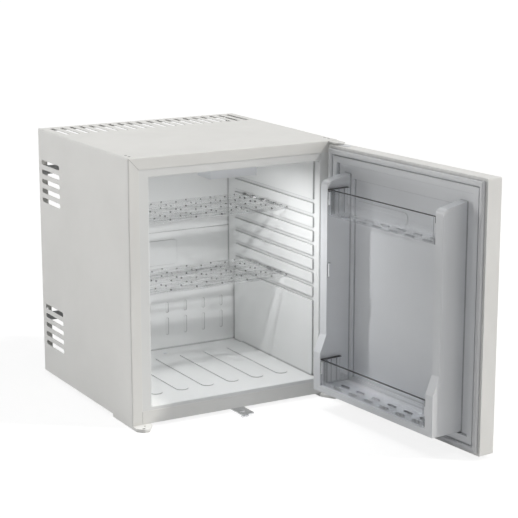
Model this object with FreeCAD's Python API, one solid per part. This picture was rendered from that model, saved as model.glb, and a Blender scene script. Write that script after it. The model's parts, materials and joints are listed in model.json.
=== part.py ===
import FreeCAD, Part
import math
import os

# Minibar fridge with an absorption cooling unit, standing on four low feet, door open.
# Millimetres. X to the right seen from the front, Y to the back, Z up.
# The origin is on the floor, under the centre of the cabinet.

V = FreeCAD.Vector
X_AXIS = V(1, 0, 0)
Y_AXIS = V(0, 1, 0)
Z_AXIS = V(0, 0, 1)

# Cabinet
shell_width = 400.0
shell_depth = 377.0
shell_height = 451.5
sheet = 1.0                     # painted steel sheet of the cabinet and door
shell_edge_radius = 2.2
side_flange = 19.0              # front flange folded in at the sides
top_flange = 20.5
rear_flange = 16.0
rear_top_flange = 6.5
rail_height = 22.0              # front rail of the base pan
pan_side_lip = 14.0
foot_height = 5.5
overrun = 1.5                   # how far every cut runs past the face that it opens
seat_gap = 0.3                  # between parts that sit on each other without touching

# Ventilation slots
slot_length = 80.0
slot_rear_margin = 13.0
side_slot_height = 8.3
side_slot_pitch = 17.1
side_slot_count = 5
upper_slot_drop = 55.0          # from the shell's top to the highest slot of the upper group
lower_slot_rise = 56.9          # from the shell's bottom to the lowest slot of the lower group
top_slot_width = 8.0
top_slot_pitch = 18.8
top_slot_half_count = 10
top_slot_centre_gap = 22.0      # between the two slots beside the middle
flange_hole_diameter = 3.4
flange_hole_pitch = 58.0
flange_hole_count = 6

# Inner liner and its cavity
liner_wall = 2.0
side_wall = 37.0
ceiling_wall = 34.5
floor_wall = 29.0
lower_back_gap = 71.0           # from the lower back wall to the shell's back edge
upper_back_gap = 48.0
step_rise = 165.0               # where the back wall steps back, above the shell's bottom
mouth_radius = 1.9
pad_raise = 3.0                 # how far the shelf pads stand out of the side walls
pad_front = 18.0                # from the cabinet's front plane
pad_rear_gap = 6.0              # from the lower back wall
groove_height = 7.5
groove_pitch = 24.86
top_groove_drop = 69.5          # from the ceiling to the top of the highest groove
pad_count = 7
floor_pad_raise = 1.2
floor_pad_width = 22.0
floor_pad_pitch = 49.7
floor_pad_count = 6
floor_pad_front = 54.0
floor_pad_rear_gap = 53.0       # from the lower back wall
gutter_depth = 2.0
gutter_width = 36.0
drain_setback = 29.0            # from the lower back wall to the drain hole's middle
drain_bore = 11.0
flute_depth = 1.0
flute_width = 6.5
flute_pitch = 38.2
flute_count = 8
flute_rows = ((24.0, 34.0), (67.0, 20.5))   # height above the floor and length of each row
back_fold_drop = 171.0          # from the ceiling to the fold in the upper back wall
back_fold_depth = 1.2
field_half_width = 51.0
field_drop = 187.0              # from the ceiling to the top of the rounded field
field_height = 46.0
field_corner = 6.0

# Foam and rear panel
foam_step_gap = 95.0            # from the shell's back edge to where the insulation narrows
air_gap = 26.0                  # between the shell's side and the insulation's rear block
foam_rear_drop = 17.5
foam_back = 12.0                # insulation behind the upper back wall
panel_sheet = 1.0

# Lamp
lamp_width = 88.0
lamp_depth = 46.0
lamp_height = 15.3
lamp_front = 11.0
lamp_wall = 1.6
lamp_lens_thickness = 2.2
lamp_lens_margin = 5.0
lamp_board_thickness = 1.6
led_count = 4
led_size = 4.0
led_height = 1.4

# Shelves
shelf_thickness = 4.0
shelf_front = 107.0
shelf_rear_gap = 43.0           # from the lower back wall
shelf_side_gap = 0.8
shelf_groove_numbers = (1, 6)   # counted down from the highest groove
shelf_lip_height = 5.0
shelf_lip_thickness = 2.5
shelf_hole = 3.0
shelf_hole_pitch = 50.4         # between the holes of one row
shelf_row_pitch = 38.8          # between the rows of one set
shelf_hole_sets = ((5.1, 31.6), (25.1, 11.3), (35.1, 36.7))     # setback and side place
shelf_margin = 4.0

# Hinge, brackets, feet and tongue
pivot_side = 10.8               # hinge axis in from the cabinet's side
pivot_forward = 20.2            # hinge axis in front of the cabinet
hinge_plate_thickness = 2.5
hinge_plate_depth = 62.0
hinge_screw_places = (16.0, 29.0)
hinge_screw_side = 10.0
screw_head = 6.4
screw_head_height = 1.2
screw_shank = 3.4
flush_head = 5.0
plug_length = 3.0
pin_diameter = 6.0
pin_depth = 10.0
bush_flange = 1.2
bush_plate_length = 30.0
bush_wall = 2.2
bush_fit = 0.05                 # radial running clearance of the hinge pins
thrust_gap = 0.8
bracket_depth = 77.4
bracket_width = 34.0
bracket_reach = 27.0
bracket_shoulder = 16.0
bracket_tip_outer = 10.0        # in from the cabinet's side
bracket_tip_inner = 19.0
bracket_neck = 6.0
bracket_corner = 2.5
bracket_spare_hole = 4.2
bracket_spare_inset = 18.0
bracket_spare_forward = 9.0
rear_foot_size = 34.0
rear_foot_inset = 8.0
tongue_width = 25.0
tongue_thickness = 1.8
tongue_reach = 40.0
tongue_seat = 32.0
tongue_curl = 2.4               # outer radius of the rolled front edge

# Door
door_thickness = 29.6
door_gap = 7.0                  # closed, between the cabinet front and the door's back edge
door_edge_radius = 2.0
door_hem = 14.0
door_wall = 1.5
open_angle = 94.8
gasket_inset = 5.0
gasket_width = 8.5
gasket_height = 6.6
gasket_bevel = 3.2
gasket_channel = 3.0
gasket_gap = 2.3                # dark groove between the gasket and the inner panel
panel_rise = 4.2                # inner panel above the door's back edge
panel_border = 10.7
panel_recess = 5.8              # inside its border
dyke_hinge_inset = 41.0
dyke_free_inset = 46.0
dyke_width = 18.0
dyke_upper_depth = 47.4         # from the door's back edge to the dyke's face
dyke_lower_depth = 59.9
dyke_top_drop = 41.5            # from the door's top to the dyke's top at the panel
dyke_top_fall = 10.5            # from there down to its front
dyke_corner_radius = 9.0
flare_top_rise = 129.0          # from the shell's bottom
flare_bottom_rise = 99.0
bar_rise = 30.8
bar_height = 11.0
bay_recess = 4.0                # field between the dykes, set back from the panel's recess
bay_side_gap = 8.5              # between the field and the dykes
bay_top_drop = 49.7             # from the door's top
bay_foot_rise = 48.5            # above the shell's bottom
plaque_left = -6.0              # plain raised field behind the upper rack
plaque_right = 127.0
plaque_height = 20.0
plaque_drop = 86.7              # from the door's top to the field's top
plaque_raise = 1.0
plaque_corner = 8.0

# Lock in the door's lower edge
lock_radius = 8.0
lock_rise = 11.0                # its axis above the door's bottom
lock_depth = 13.0
lock_key_width = 1.2
lock_key_depth = 3.0
cam_shaft_radius = 3.0
cam_hub_radius = 5.0
cam_fit = 0.05                  # radial running clearance of the cam on its shaft
cam_width = 6.0
cam_thickness = 2.0
cam_length = 14.0
cam_cap_radius = 4.5
cam_cap_thickness = 1.2
cam_room = 0.6                  # clearance of the cam in its slots

# Door racks
rack_wall = 2.0
rack_depth = 41.0
rack_height = 45.0
rack_end_wall = 6.0
rack_end_gap = 0.4
rack_bar_gap = 2.2              # lower rack above the bar
top_rack_drop = 108.0           # from the door's top to the upper rack's floor
rack_floor_slot = 22.0
rack_slot_width = 5.0
rack_slot_pitch = 41.7
rack_slot_count = 6
rack_slot_shift = -6.0          # middle of the slots beside the rack's middle
rack_slot_rows = (7.5, 24.0)    # behind the rack's front face
rack_rim = 1.2
nub_width = 6.0
nub_height = 23.0
nub_thickness = 4.4
nub_setback = 1.5
nub_fit = 0.3
spare_nub_drop = 191.0          # from the door's top to the top of the unused pair

# Cooling unit
tube_radius = 6.0
thin_tube_radius = 3.0
tube_bend = 18.0
unit_rear_gap = 18.5            # from the shell's back edge to the tubes' middle plane
boiler_width = 48.0
boiler_depth = 28.0
boiler_height = 215.0
boiler_side = 42.0              # clear of the view through the side slots
boiler_rise = 90.0
boiler_corner = 5.0
heater_radius = 7.0
heater_length = 120.0
heater_tail = 4.0
condenser_drop = 46.0
drop_side = 45.0                # from the shell's inside to the condenser's outlet leg
fin_gap = 6.0                   # between a bend and the nearest fin
fin_width = 28.0
fin_height = 44.0
fin_thickness = 1.0
fin_pitch = 9.0
vessel_radius = 13.0
vessel_gap = 7.0                # between the vessel and the control box
vessel_lead = 61.0              # from the boiler's tube to the vessel
vessel_rise = 52.0
vessel_end = 7.0
coil_runs = 5
coil_run_pitch = 34.0
coil_gap = 9.0                  # between the boiler and the coil's upright leg
coil_side = 111.0               # from the shell's inside to the coil's end
coil_rise = 88.0
evaporator_width = 250.0
evaporator_height = 96.0
evaporator_plate = 1.5
evaporator_tube = 4.0
evaporator_drop = 70.0
supply_inset = 20.0             # of the supply pipe from the evaporator's end
strap_height = 16.0
strap_thickness = 1.5
control_width = 70.0
control_depth = 30.0
control_height = 62.0
control_side = 22.0
control_wall = 2.0
board_thickness = 1.6
relay_size = 16.0
relay_depth = 7.5
inlet_width = 27.0
inlet_height = 19.5
inlet_depth = 17.0
inlet_prong = 2.0
lead_radius = 1.5
lead_rise = 14.0
lead_offset = 5.0
lead_bend = 12.0
probe_radius = 3.0
probe_length = 46.0
drain_wall = 1.5
drain_bend = 10.0
drain_run_rise = 15.5
drain_overhang = 8.0
tray_width = 92.0
tray_height = 8.0
tray_wall = 1.5

# Planes and places that follow from the sizes above
front = -shell_depth / 2
back = shell_depth / 2
base = foot_height
top = base + shell_height
half = shell_width / 2
inside = half - sheet
cavity_half = half - side_wall
cavity_floor = base + floor_wall
cavity_ceiling = top - ceiling_wall
cavity_front = front + sheet
cavity_step = base + step_rise
lower_back = back - lower_back_gap
upper_back = back - upper_back_gap
pad_rear = lower_back - pad_rear_gap
floor_pad_length = lower_back - floor_pad_rear_gap - (front + floor_pad_front)
shelf_depth = lower_back - shelf_rear_gap - (front + shelf_front)
foam_rear = upper_back + liner_wall + foam_back
foam_rear_side = half - air_gap
foam_step_y = back - foam_step_gap
foam_rear_top = top - foam_rear_drop
panel_rear = foam_rear + panel_sheet
unit_y = back - unit_rear_gap
pivot_x = half - pivot_side
pivot_y = front - pivot_forward
plate_tip = inside - pivot_x
hinge_plate_top = top - sheet
hinge_plate_bottom = hinge_plate_top - hinge_plate_thickness
door_top = hinge_plate_bottom - thrust_gap - bush_flange
door_bottom = base + bush_flange + seat_gap
door_back = front - door_gap
door_front = door_back - door_thickness
lock_z = door_bottom + lock_rise
cam_front = door_front + lock_depth + seat_gap
panel_y = door_back + panel_rise - panel_recess
bay_y = panel_y - bay_recess
rack_inner_end = -half + dyke_free_inset + dyke_width
rack_hinge_end = half - dyke_hinge_inset - dyke_width
low_rack_floor = base + bar_rise + bar_height + rack_bar_gap
top_rack_floor = door_top - top_rack_drop
field_top = cavity_ceiling - field_drop
back_fold = cavity_ceiling - back_fold_drop
groove_tops = [cavity_ceiling - top_groove_drop - n * groove_pitch for n in range(pad_count + 1)]


def box(x0, x1, y0, y1, z0, z1):
    """A block between three pairs of coordinates."""
    return Part.makeBox(x1 - x0, y1 - y0, z1 - z0, V(x0, y0, z0))


def rod(centre, radius, length, axis):
    """A cylinder that starts at centre and runs along axis."""
    return Part.makeCylinder(radius, length, centre, axis)


def fuse(solids):
    """One shape from a list of touching or overlapping solids."""
    result = solids[0]
    if len(solids) > 1:
        result = result.fuse(solids[1:])
    return result.removeSplitter()


def prism(points, direction):
    """A closed outline of corner points, drawn out along a vector."""
    return Part.Face(Part.makePolygon(points + [points[0]])).extrude(direction)


def stadium(centre, length, width, depth, along, normal):
    """A slot with round ends, sunk or raised by depth along normal."""
    side = along.cross(normal)
    straight = length / 2 - width / 2
    ends = [centre + along * straight, centre - along * straight]
    body = prism([ends[0] + side * (width / 2), ends[1] + side * (width / 2),
                  ends[1] - side * (width / 2), ends[0] - side * (width / 2)], normal * depth)
    rounds = [rod(end, width / 2, depth, normal) for end in ends]
    return fuse([body] + rounds)


def rounded_block(x0, x1, y0, y1, z0, z1, radius, picks):
    """A block with the edges rounded whose middle point picks() accepts."""
    block = box(x0, x1, y0, y1, z0, z1)
    edges = [edge for edge in block.Edges if picks(edge.CenterOfMass)]
    return block.makeFillet(radius, edges)


def bent_tube(points, radius, bend):
    """A round tube through corner points, with an arc of one bend radius at each corner."""
    edges = []
    start = points[0]
    for before, corner, after in zip(points, points[1:], points[2:]):
        inward = (before - corner).normalize()
        outward = (after - corner).normalize()
        half_turn = inward.getAngle(outward) / 2
        reach = bend / math.tan(half_turn)
        first = corner + inward * reach
        last = corner + outward * reach
        centre = corner + (inward + outward).normalize() * (bend / math.sin(half_turn))
        middle = centre + (corner - centre).normalize() * bend
        edges.append(Part.makeLine(start, first))
        edges.append(Part.Arc(first, middle, last).toShape())
        start = last
    edges.append(Part.makeLine(start, points[-1]))
    path = Part.Wire(edges)
    ring = Part.Wire(Part.makeCircle(radius, points[0], points[1] - points[0]))
    return path.makePipeShell([ring], True, False)


def screw(head_seat, axis, length):
    """A pan-head screw: the head stands on head_seat, the shank runs along axis."""
    head = rod(head_seat - axis * screw_head_height, screw_head / 2, screw_head_height, axis)
    rim = [edge for edge in head.Edges
           if edge.isClosed() and (edge.CenterOfMass - head_seat).Length > screw_head_height / 2]
    head = head.makeChamfer(screw_head_height / 3, rim)
    return fuse([head, rod(head_seat, screw_shank / 2, length, axis)])


def flush_screw(surface, axis, length):
    """A countersunk screw whose head ends level with a sheet's surface."""
    head = Part.makeCone(flush_head / 2, screw_shank / 2, sheet, surface, axis)
    return fuse([head, rod(surface, screw_shank / 2, length, axis)])


# Cabinet

def side_slot_heights():
    """The middle heights of the slots in one side, upper group first."""
    upper = [top - upper_slot_drop - side_slot_height / 2 - n * side_slot_pitch
             for n in range(side_slot_count)]
    lower = [base + lower_slot_rise + n * side_slot_pitch for n in range(side_slot_count)]
    return upper + lower


def top_slot_places():
    """The middle places of the slots in the top, from one side to the other."""
    right = [top_slot_centre_gap / 2 + n * top_slot_pitch for n in range(top_slot_half_count)]
    return [-x for x in reversed(right)] + right


def make_cabinet_shell(fasteners):
    """Wrapper of one folded sheet: both sides, the top, the front flange and the rear flange."""
    def folded(point):
        at_top = abs(point.z - top) < sheet
        at_side = abs(abs(point.x) - half) < sheet
        at_front = abs(point.y - front) < sheet
        return (at_top and at_side) or (at_front and (at_top or at_side))
    shell = rounded_block(-half, half, front, back, base, top, shell_edge_radius, folded)
    shell = shell.cut(box(-inside, inside, front + sheet, back - sheet, base - overrun, top - sheet))
    opening = half - side_flange
    shell = shell.cut(box(-opening, opening, front - overrun, front + sheet + overrun,
                          base - overrun, top - top_flange))
    opening = half - rear_flange
    shell = shell.cut(box(-opening, opening, back - sheet - overrun, back + overrun,
                          base - overrun, top - rear_top_flange))
    slot_y = back - slot_rear_margin - slot_length / 2
    cuts = []
    for z in side_slot_heights():
        cuts.append(stadium(V(-half - overrun, slot_y, z), slot_length, side_slot_height,
                            shell_width + 2 * overrun, Y_AXIS, X_AXIS))
    for x in top_slot_places():
        cuts.append(stadium(V(x, slot_y, top - sheet - overrun), slot_length, top_slot_width,
                            sheet + 2 * overrun, Y_AXIS, Z_AXIS))
    for side in (-1, 1):
        for n in range(flange_hole_count):
            start = V(side * (half - rear_flange / 2), back - sheet - overrun,
                      base + flange_hole_pitch * (n + 1))
            cuts.append(rod(start, flange_hole_diameter / 2, sheet + 2 * overrun, Y_AXIS))
    cuts.append(box(pivot_x - plate_tip - seat_gap, inside, front - overrun,
                    front + sheet + overrun, hinge_plate_bottom - seat_gap, hinge_plate_top))
    return shell.cut(cuts + fasteners)


def make_base_pan(fasteners):
    """Bottom sheet with the front rail, side lips and air slots under the cooling unit."""
    rail_half = half - side_flange
    pan = fuse([
        box(-inside, inside, front + sheet, back - sheet, base, base + sheet),
        box(-rail_half, rail_half, front, front + sheet, base, base + rail_height),
        box(-rail_half, rail_half, front, front + 2 * sheet, base, base + sheet),
        box(-inside, -inside + sheet, front + sheet, back - sheet, base, base + pan_side_lip),
        box(inside - sheet, inside, front + sheet, back - sheet, base, base + pan_side_lip),
    ])
    clear_half = half - rear_foot_inset - rear_foot_size - top_slot_width
    slots = [stadium(V(x, unit_y, base - overrun), boiler_depth, top_slot_width,
                     sheet + 2 * overrun, Y_AXIS, Z_AXIS)
             for x in top_slot_places() if abs(x) < clear_half]
    return pan.cut(slots + fasteners)


def pad_spans():
    """Lower and upper edges of the raised wall pads above, between and below the grooves."""
    edges = [cavity_ceiling + overrun]
    for groove_top in groove_tops:
        edges += [groove_top, groove_top - groove_height]
    edges.append(cavity_floor - gutter_depth - overrun)
    return list(zip(edges[1::2], edges[0::2]))


def side_pads():
    """The wall pads on both sides; the shelf grooves are the gaps between them."""
    pads = []
    for z0, z1 in pad_spans():
        for side in (-1, 1):
            x0, x1 = sorted((side * (cavity_half - pad_raise), side * (cavity_half + overrun)))
            pads.append(box(x0, x1, front + pad_front, pad_rear, z0, z1))
    return pads


def pad_pockets():
    """The hollows behind the wall pads, so that the liner keeps one wall thickness."""
    pockets = []
    for low, high in pad_spans():
        z0 = max(low, cavity_floor) + liner_wall
        z1 = min(high, cavity_ceiling) - liner_wall
        for side in (-1, 1):
            x0, x1 = sorted((side * (cavity_half - pad_raise + liner_wall),
                             side * (cavity_half + liner_wall + overrun)))
            pockets.append(box(x0, x1, front + pad_front + liner_wall, pad_rear - liner_wall,
                               z0, z1))
    return pockets


def flutes():
    """Two rows of short upright grooves in the lower back wall."""
    grooves = []
    first = -(flute_count - 1) / 2 * flute_pitch
    for rise, length in flute_rows:
        for n in range(flute_count):
            centre = V(first + n * flute_pitch, lower_back - overrun,
                       cavity_floor + rise + length / 2)
            grooves.append(stadium(centre, length, flute_width, flute_depth + overrun,
                                   Z_AXIS, Y_AXIS))
    return grooves


def floor_pads():
    """Long raised pads on the cavity floor."""
    first = -(floor_pad_count - 1) / 2 * floor_pad_pitch
    middle_y = front + floor_pad_front + floor_pad_length / 2
    return [stadium(V(first + n * floor_pad_pitch, middle_y, cavity_floor - overrun),
                    floor_pad_length, floor_pad_width, floor_pad_raise + overrun, Y_AXIS, Z_AXIS)
            for n in range(floor_pad_count)]


def back_fields():
    """The thicker lower part of the upper back wall and the rounded field on it."""
    fold_y = upper_back - back_fold_depth
    fold = box(-cavity_half - overrun, cavity_half + overrun, fold_y, upper_back + overrun,
               cavity_step - overrun, back_fold)
    field = upright_field(-field_half_width, field_half_width, fold_y - back_fold_depth,
                          upper_back, field_top - field_height, field_top, field_corner)
    return [fold, field]


def upright_field(x0, x1, y0, y1, z0, z1, radius):
    """A flat block whose corners are round, seen along Y."""
    def at_corner(point):
        at_side = min(abs(point.x - x0), abs(point.x - x1)) < seat_gap
        return at_side and min(abs(point.z - z0), abs(point.z - z1)) < seat_gap
    return rounded_block(x0, x1, y0, y1, z0, z1, radius, at_corner)


def cavity_shape():
    """The space inside the liner, deeper above the step, with every raised pad left out."""
    low = box(-cavity_half, cavity_half, front - overrun, lower_back, cavity_floor, cavity_ceiling)
    high = box(-cavity_half, cavity_half, front - overrun, upper_back, cavity_step, cavity_ceiling)
    gutter = box(-cavity_half, cavity_half, lower_back - gutter_width, lower_back,
                 cavity_floor - gutter_depth, cavity_floor + overrun)
    space = fuse([low, high, gutter] + flutes())
    return space.cut(side_pads() + floor_pads() + back_fields()).removeSplitter()


def liner_envelope():
    """The outside of the liner's cavity part, hollow behind the wall pads."""
    side = cavity_half + liner_wall
    roof = cavity_ceiling + liner_wall
    low = box(-side, side, cavity_front, lower_back + liner_wall,
              cavity_floor - gutter_depth - liner_wall, roof)
    high = box(-side, side, cavity_front, upper_back + liner_wall, cavity_step - liner_wall, roof)
    return fuse([low, high]).cut(pad_pockets())


def drain_centre():
    """Middle of the drain hole on the gutter floor."""
    return V(0, lower_back - drain_setback, cavity_floor - gutter_depth)


def make_inner_liner():
    """Vacuum-formed liner: flange, walls with shelf grooves, floor with pads and drain hole."""
    flange = box(-inside, inside, cavity_front, cavity_front + liner_wall,
                 base + pan_side_lip, top - sheet)
    liner = fuse([flange, liner_envelope()]).cut(cavity_shape())
    drain = rod(drain_centre() - Z_AXIS * (liner_wall + overrun), drain_bore / 2,
                liner_wall + 2 * overrun, Z_AXIS)
    mouth = [edge for edge in liner.Edges if is_mouth_edge(edge)]
    liner = liner.makeFillet(mouth_radius, mouth)
    return liner.cut([drain, hinge_plate_block(seat_gap)])


def is_mouth_edge(edge):
    """True for the four straight edges where the cavity meets the front flange."""
    point = edge.CenterOfMass
    in_plane = abs(point.y - cavity_front) < liner_wall / 4
    at_side = abs(abs(point.x) - cavity_half) < liner_wall / 4
    at_end = min(abs(point.z - cavity_floor), abs(point.z - cavity_ceiling)) < liner_wall / 4
    long_edge = edge.Length > cavity_half
    return in_plane and long_edge and (at_side or at_end)


def foam_blocks():
    """The wide front block and the narrower rear block of the insulation."""
    foam_front = cavity_front + liner_wall
    wide = box(-inside, inside, foam_front, foam_step_y, base + sheet, top - sheet)
    rear = box(-foam_rear_side, foam_rear_side, foam_front, foam_rear,
               base + sheet, foam_rear_top)
    return wide, rear


def pan_lips():
    """The pan's side lips, as cutters for what stands beside them."""
    return [box(-inside, -inside + sheet, front, back, base, base + pan_side_lip),
            box(inside - sheet, inside, front, back, base, base + pan_side_lip)]


def make_cabinet_foam(cutters):
    """Foamed insulation between the shell and the liner."""
    return fuse(list(foam_blocks())).cut([liner_envelope(), hinge_plate_block(seat_gap)]
                                         + pan_lips() + cutters)


def make_rear_panel(cutters):
    """Folded panel behind the insulation, with a narrow hump over its rear block."""
    side = foam_rear_side + panel_sheet
    outer = fuse([
        box(-inside, inside, foam_step_y, foam_step_y + panel_sheet, base + sheet, top - sheet),
        box(-side, side, foam_step_y, panel_rear, base + sheet, foam_rear_top + panel_sheet),
    ])
    return outer.cut([foam_blocks()[1]] + pan_lips() + cutters)


# Lamp

def make_lamp():
    """Housing under the ceiling, its lens and the board with the light sources."""
    y0 = front + lamp_front
    y1 = y0 + lamp_depth
    z0 = cavity_ceiling - lamp_height
    side = lamp_width / 2
    housing = box(-side, side, y0, y1, z0, cavity_ceiling)
    lens_side = side - lamp_lens_margin
    lens_front = y0 + lamp_lens_margin
    lens_back = y1 - lamp_lens_margin
    hollow = box(-side + lamp_wall, side - lamp_wall, y0 + lamp_wall, y1 - lamp_wall,
                 z0 + lamp_wall, cavity_ceiling + overrun)
    window = box(-lens_side, lens_side, lens_front, lens_back, z0 - overrun, z0 + lamp_wall + overrun)
    housing = housing.cut([hollow, window])
    ledge = lamp_wall / 2
    lens = fuse([
        box(-lens_side, lens_side, lens_front, lens_back, z0, z0 + lamp_wall),
        box(-lens_side - ledge, lens_side + ledge, lens_front - ledge, lens_back + ledge,
            z0 + lamp_wall, z0 + lamp_wall + lamp_lens_thickness / 2),
    ])
    board_z = cavity_ceiling - lamp_board_thickness
    board = box(-side + lamp_wall, side - lamp_wall, y0 + lamp_wall, y1 - lamp_wall,
                board_z, cavity_ceiling)
    pitch = 2 * lens_side / led_count
    leds = [box(x - led_size / 2, x + led_size / 2, (y0 + y1) / 2 - led_size / 2,
                (y0 + y1) / 2 + led_size / 2, board_z - led_height, board_z)
            for x in [-lens_side + pitch * (n + 1 / 2) for n in range(led_count)]]
    return housing, lens, fuse([board] + leds)


# Shelves

def make_shelf(groove_number):
    """Clear shelf with staggered holes and a front lip, lying in a pair of grooves."""
    z0 = groove_tops[groove_number] - groove_height + seat_gap
    z1 = z0 + shelf_thickness
    side = cavity_half - shelf_side_gap
    y0 = front + shelf_front
    y1 = y0 + shelf_depth
    lip_side = cavity_half - pad_raise - shelf_side_gap
    plate = fuse([
        box(-side, side, y0, y1, z0, z1),
        box(-lip_side, lip_side, y0, y0 + shelf_lip_thickness, z1 - shelf_lip_height, z1),
    ])
    holes = [rod(V(x, y0 + setback, z0 - overrun), shelf_hole / 2,
                 shelf_thickness + 2 * overrun, Z_AXIS)
             for x, setback in shelf_hole_places(side - shelf_margin)]
    return plate.cut(holes)


def shelf_hole_places(reach):
    """Side place and setback of each hole: three sets of rows, staggered against each other."""
    places = []
    for first_setback, first_x in shelf_hole_sets:
        row_count = int((shelf_depth - shelf_margin - first_setback) / shelf_row_pitch) + 1
        low = math.ceil((-reach - first_x) / shelf_hole_pitch)
        high = math.floor((reach - first_x) / shelf_hole_pitch)
        places += [(first_x + n * shelf_hole_pitch, first_setback + row * shelf_row_pitch)
                   for row in range(row_count) for n in range(low, high + 1)]
    return places


# Hinge, brackets and feet

def hinge_plate_block(gap):
    """The plate's buried part, grown by a gap, as a cutter for what surrounds it."""
    return box(pivot_x - plate_tip - gap, inside, front - overrun, front + hinge_plate_depth + gap,
               hinge_plate_bottom - gap, hinge_plate_top)


def make_hinge_plate(fasteners):
    """Steel plate under the top sheet that carries the upper hinge pin."""
    x0 = pivot_x - plate_tip
    plate = fuse([
        box(x0, inside, pivot_y, front + hinge_plate_depth, hinge_plate_bottom, hinge_plate_top),
        rod(V(pivot_x, pivot_y, hinge_plate_bottom), plate_tip, hinge_plate_thickness, Z_AXIS),
    ])
    pin_hole = rod(V(pivot_x, pivot_y, hinge_plate_bottom - overrun), pin_diameter / 2,
                   hinge_plate_thickness + 2 * overrun, Z_AXIS)
    return plate.cut([pin_hole] + fasteners)


def make_pins():
    """Upper pin hanging from the hinge plate and lower pin standing in its bracket."""
    upper = rod(V(pivot_x, pivot_y, door_top - pin_depth), pin_diameter / 2,
                hinge_plate_top - door_top + pin_depth, Z_AXIS)
    lower = rod(V(pivot_x, pivot_y, 0), pin_diameter / 2, door_bottom + pin_depth, Z_AXIS)
    return upper, lower


def make_bracket(side, fasteners):
    """Thick front foot under one corner, reaching forward to carry the lower hinge pin."""
    inner = half - bracket_width
    corners = [(half, front + bracket_depth), (half, front - bracket_shoulder),
               (half - bracket_tip_outer, front - bracket_reach),
               (half - bracket_tip_inner, front - bracket_reach),
               (inner, front - bracket_neck), (inner, front + bracket_depth)]
    plate = prism([V(side * x, y, 0) for x, y in corners], Z_AXIS * foot_height)
    sharp = [edge for edge in plate.Edges
             if abs(edge.Length - foot_height) < seat_gap and edge.CenterOfMass.y < front]
    plate = plate.makeFillet(bracket_corner, sharp)
    spare = V(side * (half - bracket_spare_inset), front - bracket_spare_forward, -overrun)
    depth = foot_height + 2 * overrun
    holes = [rod(spare, bracket_spare_hole / 2, depth, Z_AXIS),
             rod(V(side * pivot_x, pivot_y, -overrun), pin_diameter / 2, depth, Z_AXIS)]
    pockets = [rod(V(side * x, y, -overrun), screw_head / 2 + seat_gap,
                   foot_height / 2 + overrun, Z_AXIS) for x, y in bracket_screw_places()]
    return plate.cut(holes + pockets + fasteners)


def bracket_screw_places():
    """The two screws that hold a front bracket to the pan."""
    x = half - bracket_width / 2
    return [(x, front + bracket_depth / 3), (x, front + bracket_depth * 5 / 6)]


def make_bracket_screws():
    """Screws up through the front brackets into the base pan, heads sunk in the brackets."""
    return [screw(V(side * x, y, foot_height / 2), Z_AXIS, foot_height / 2 + sheet)
            for side in (-1, 1) for x, y in bracket_screw_places()]


def make_rear_feet():
    """Two plain feet under the rear corners."""
    feet = []
    for side in (-1, 1):
        x0, x1 = sorted((side * (half - rear_foot_inset), side * (half - rear_foot_inset - rear_foot_size)))
        y1 = back - rear_foot_inset
        y0 = y1 - rear_foot_size
        foot = rounded_block(x0, x1, y0, y1, 0, foot_height, rear_foot_inset / 2,
                             lambda point: abs(point.z - foot_height / 2) < seat_gap)
        feet.append(foot)
    return Part.makeCompound(feet)


def make_tongue_screws():
    """Screws that hold the catch tongue to the base pan from below."""
    seat = base - tongue_thickness
    return [screw(V(0, front + place, seat), Z_AXIS, tongue_thickness + sheet)
            for place in (tongue_seat / 4, tongue_seat * 3 / 4)]


def cam_slot(z0, z1, reach):
    """Slot for the lock's cam in a sheet below it, on the side from which the cam comes down."""
    y0 = cam_front - cam_room
    y1 = cam_front + cam_thickness + cam_room
    return box(-reach, cam_width / 2 + cam_room, y0, y1, z0, z1)


def cam_reach(z):
    """How far to the side the cam's corner passes while it crosses a height."""
    corner = math.hypot(cam_length, cam_width / 2)
    return math.sqrt(corner ** 2 - (lock_z - z) ** 2) + cam_room


def make_tongue(fasteners):
    """Chromed catch tongue under the front rail: rolled front edge and slot for the lock's cam."""
    z1 = base
    z0 = z1 - tongue_thickness
    side = tongue_width / 2
    y0 = front - tongue_reach
    plate = box(-side, side, y0 + tongue_curl, front + tongue_seat, z0, z1)
    corners = [edge for edge in plate.Edges if abs(edge.Length - tongue_thickness) < seat_gap
               and edge.CenterOfMass.y < front and edge.CenterOfMass.x > 0]
    plate = plate.makeFillet(tongue_curl, corners)
    roll = rod(V(-side, y0 + tongue_curl, z1 - tongue_curl), tongue_curl, tongue_width / 2, X_AXIS)
    slot = cam_slot(z0 - overrun, z1 + overrun, cam_reach(z1))
    return fuse([plate, roll]).cut([slot] + fasteners)


def make_top_screws(side, length):
    """Two flush screws or plugs in the top sheet of one side."""
    return [flush_screw(V(side * (half - hinge_screw_side), front + place, top), -Z_AXIS, length)
            for place in hinge_screw_places]


# Door, built closed

def make_door_skin(cutters):
    """Outer pan of the door: face, four folded edges and a hem round the back."""
    def outer_edge(point):
        at_front = abs(point.y - door_front) < door_wall
        at_side = abs(abs(point.x) - half) < door_wall
        at_end = min(abs(point.z - door_top), abs(point.z - door_bottom)) < door_wall
        return (at_front and (at_side or at_end)) or (at_side and at_end)
    pan = rounded_block(-half, half, door_front, door_back, door_bottom, door_top,
                        door_edge_radius, outer_edge)
    inner = box(-half + sheet, half - sheet, door_front + sheet, door_back - sheet,
                door_bottom + sheet, door_top - sheet)
    slot = cam_slot(door_bottom - overrun, door_bottom + sheet + overrun,
                    cam_reach(door_bottom + sheet))
    opening = box(-half + door_hem, half - door_hem, door_back - sheet - overrun,
                  door_back + overrun, door_bottom + door_hem, door_top - door_hem)
    return pan.cut([inner, opening, slot] + cutters)


def dyke_block(x_outer, direction, shrink):
    """One dyke before its side view is cut, straight on both sides."""
    x0, x1 = sorted((x_outer + direction * shrink, x_outer + direction * (dyke_width - shrink)))
    return box(x0, x1, panel_y - door_wall, door_back + dyke_lower_depth + overrun,
               door_bottom, door_top)


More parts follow.
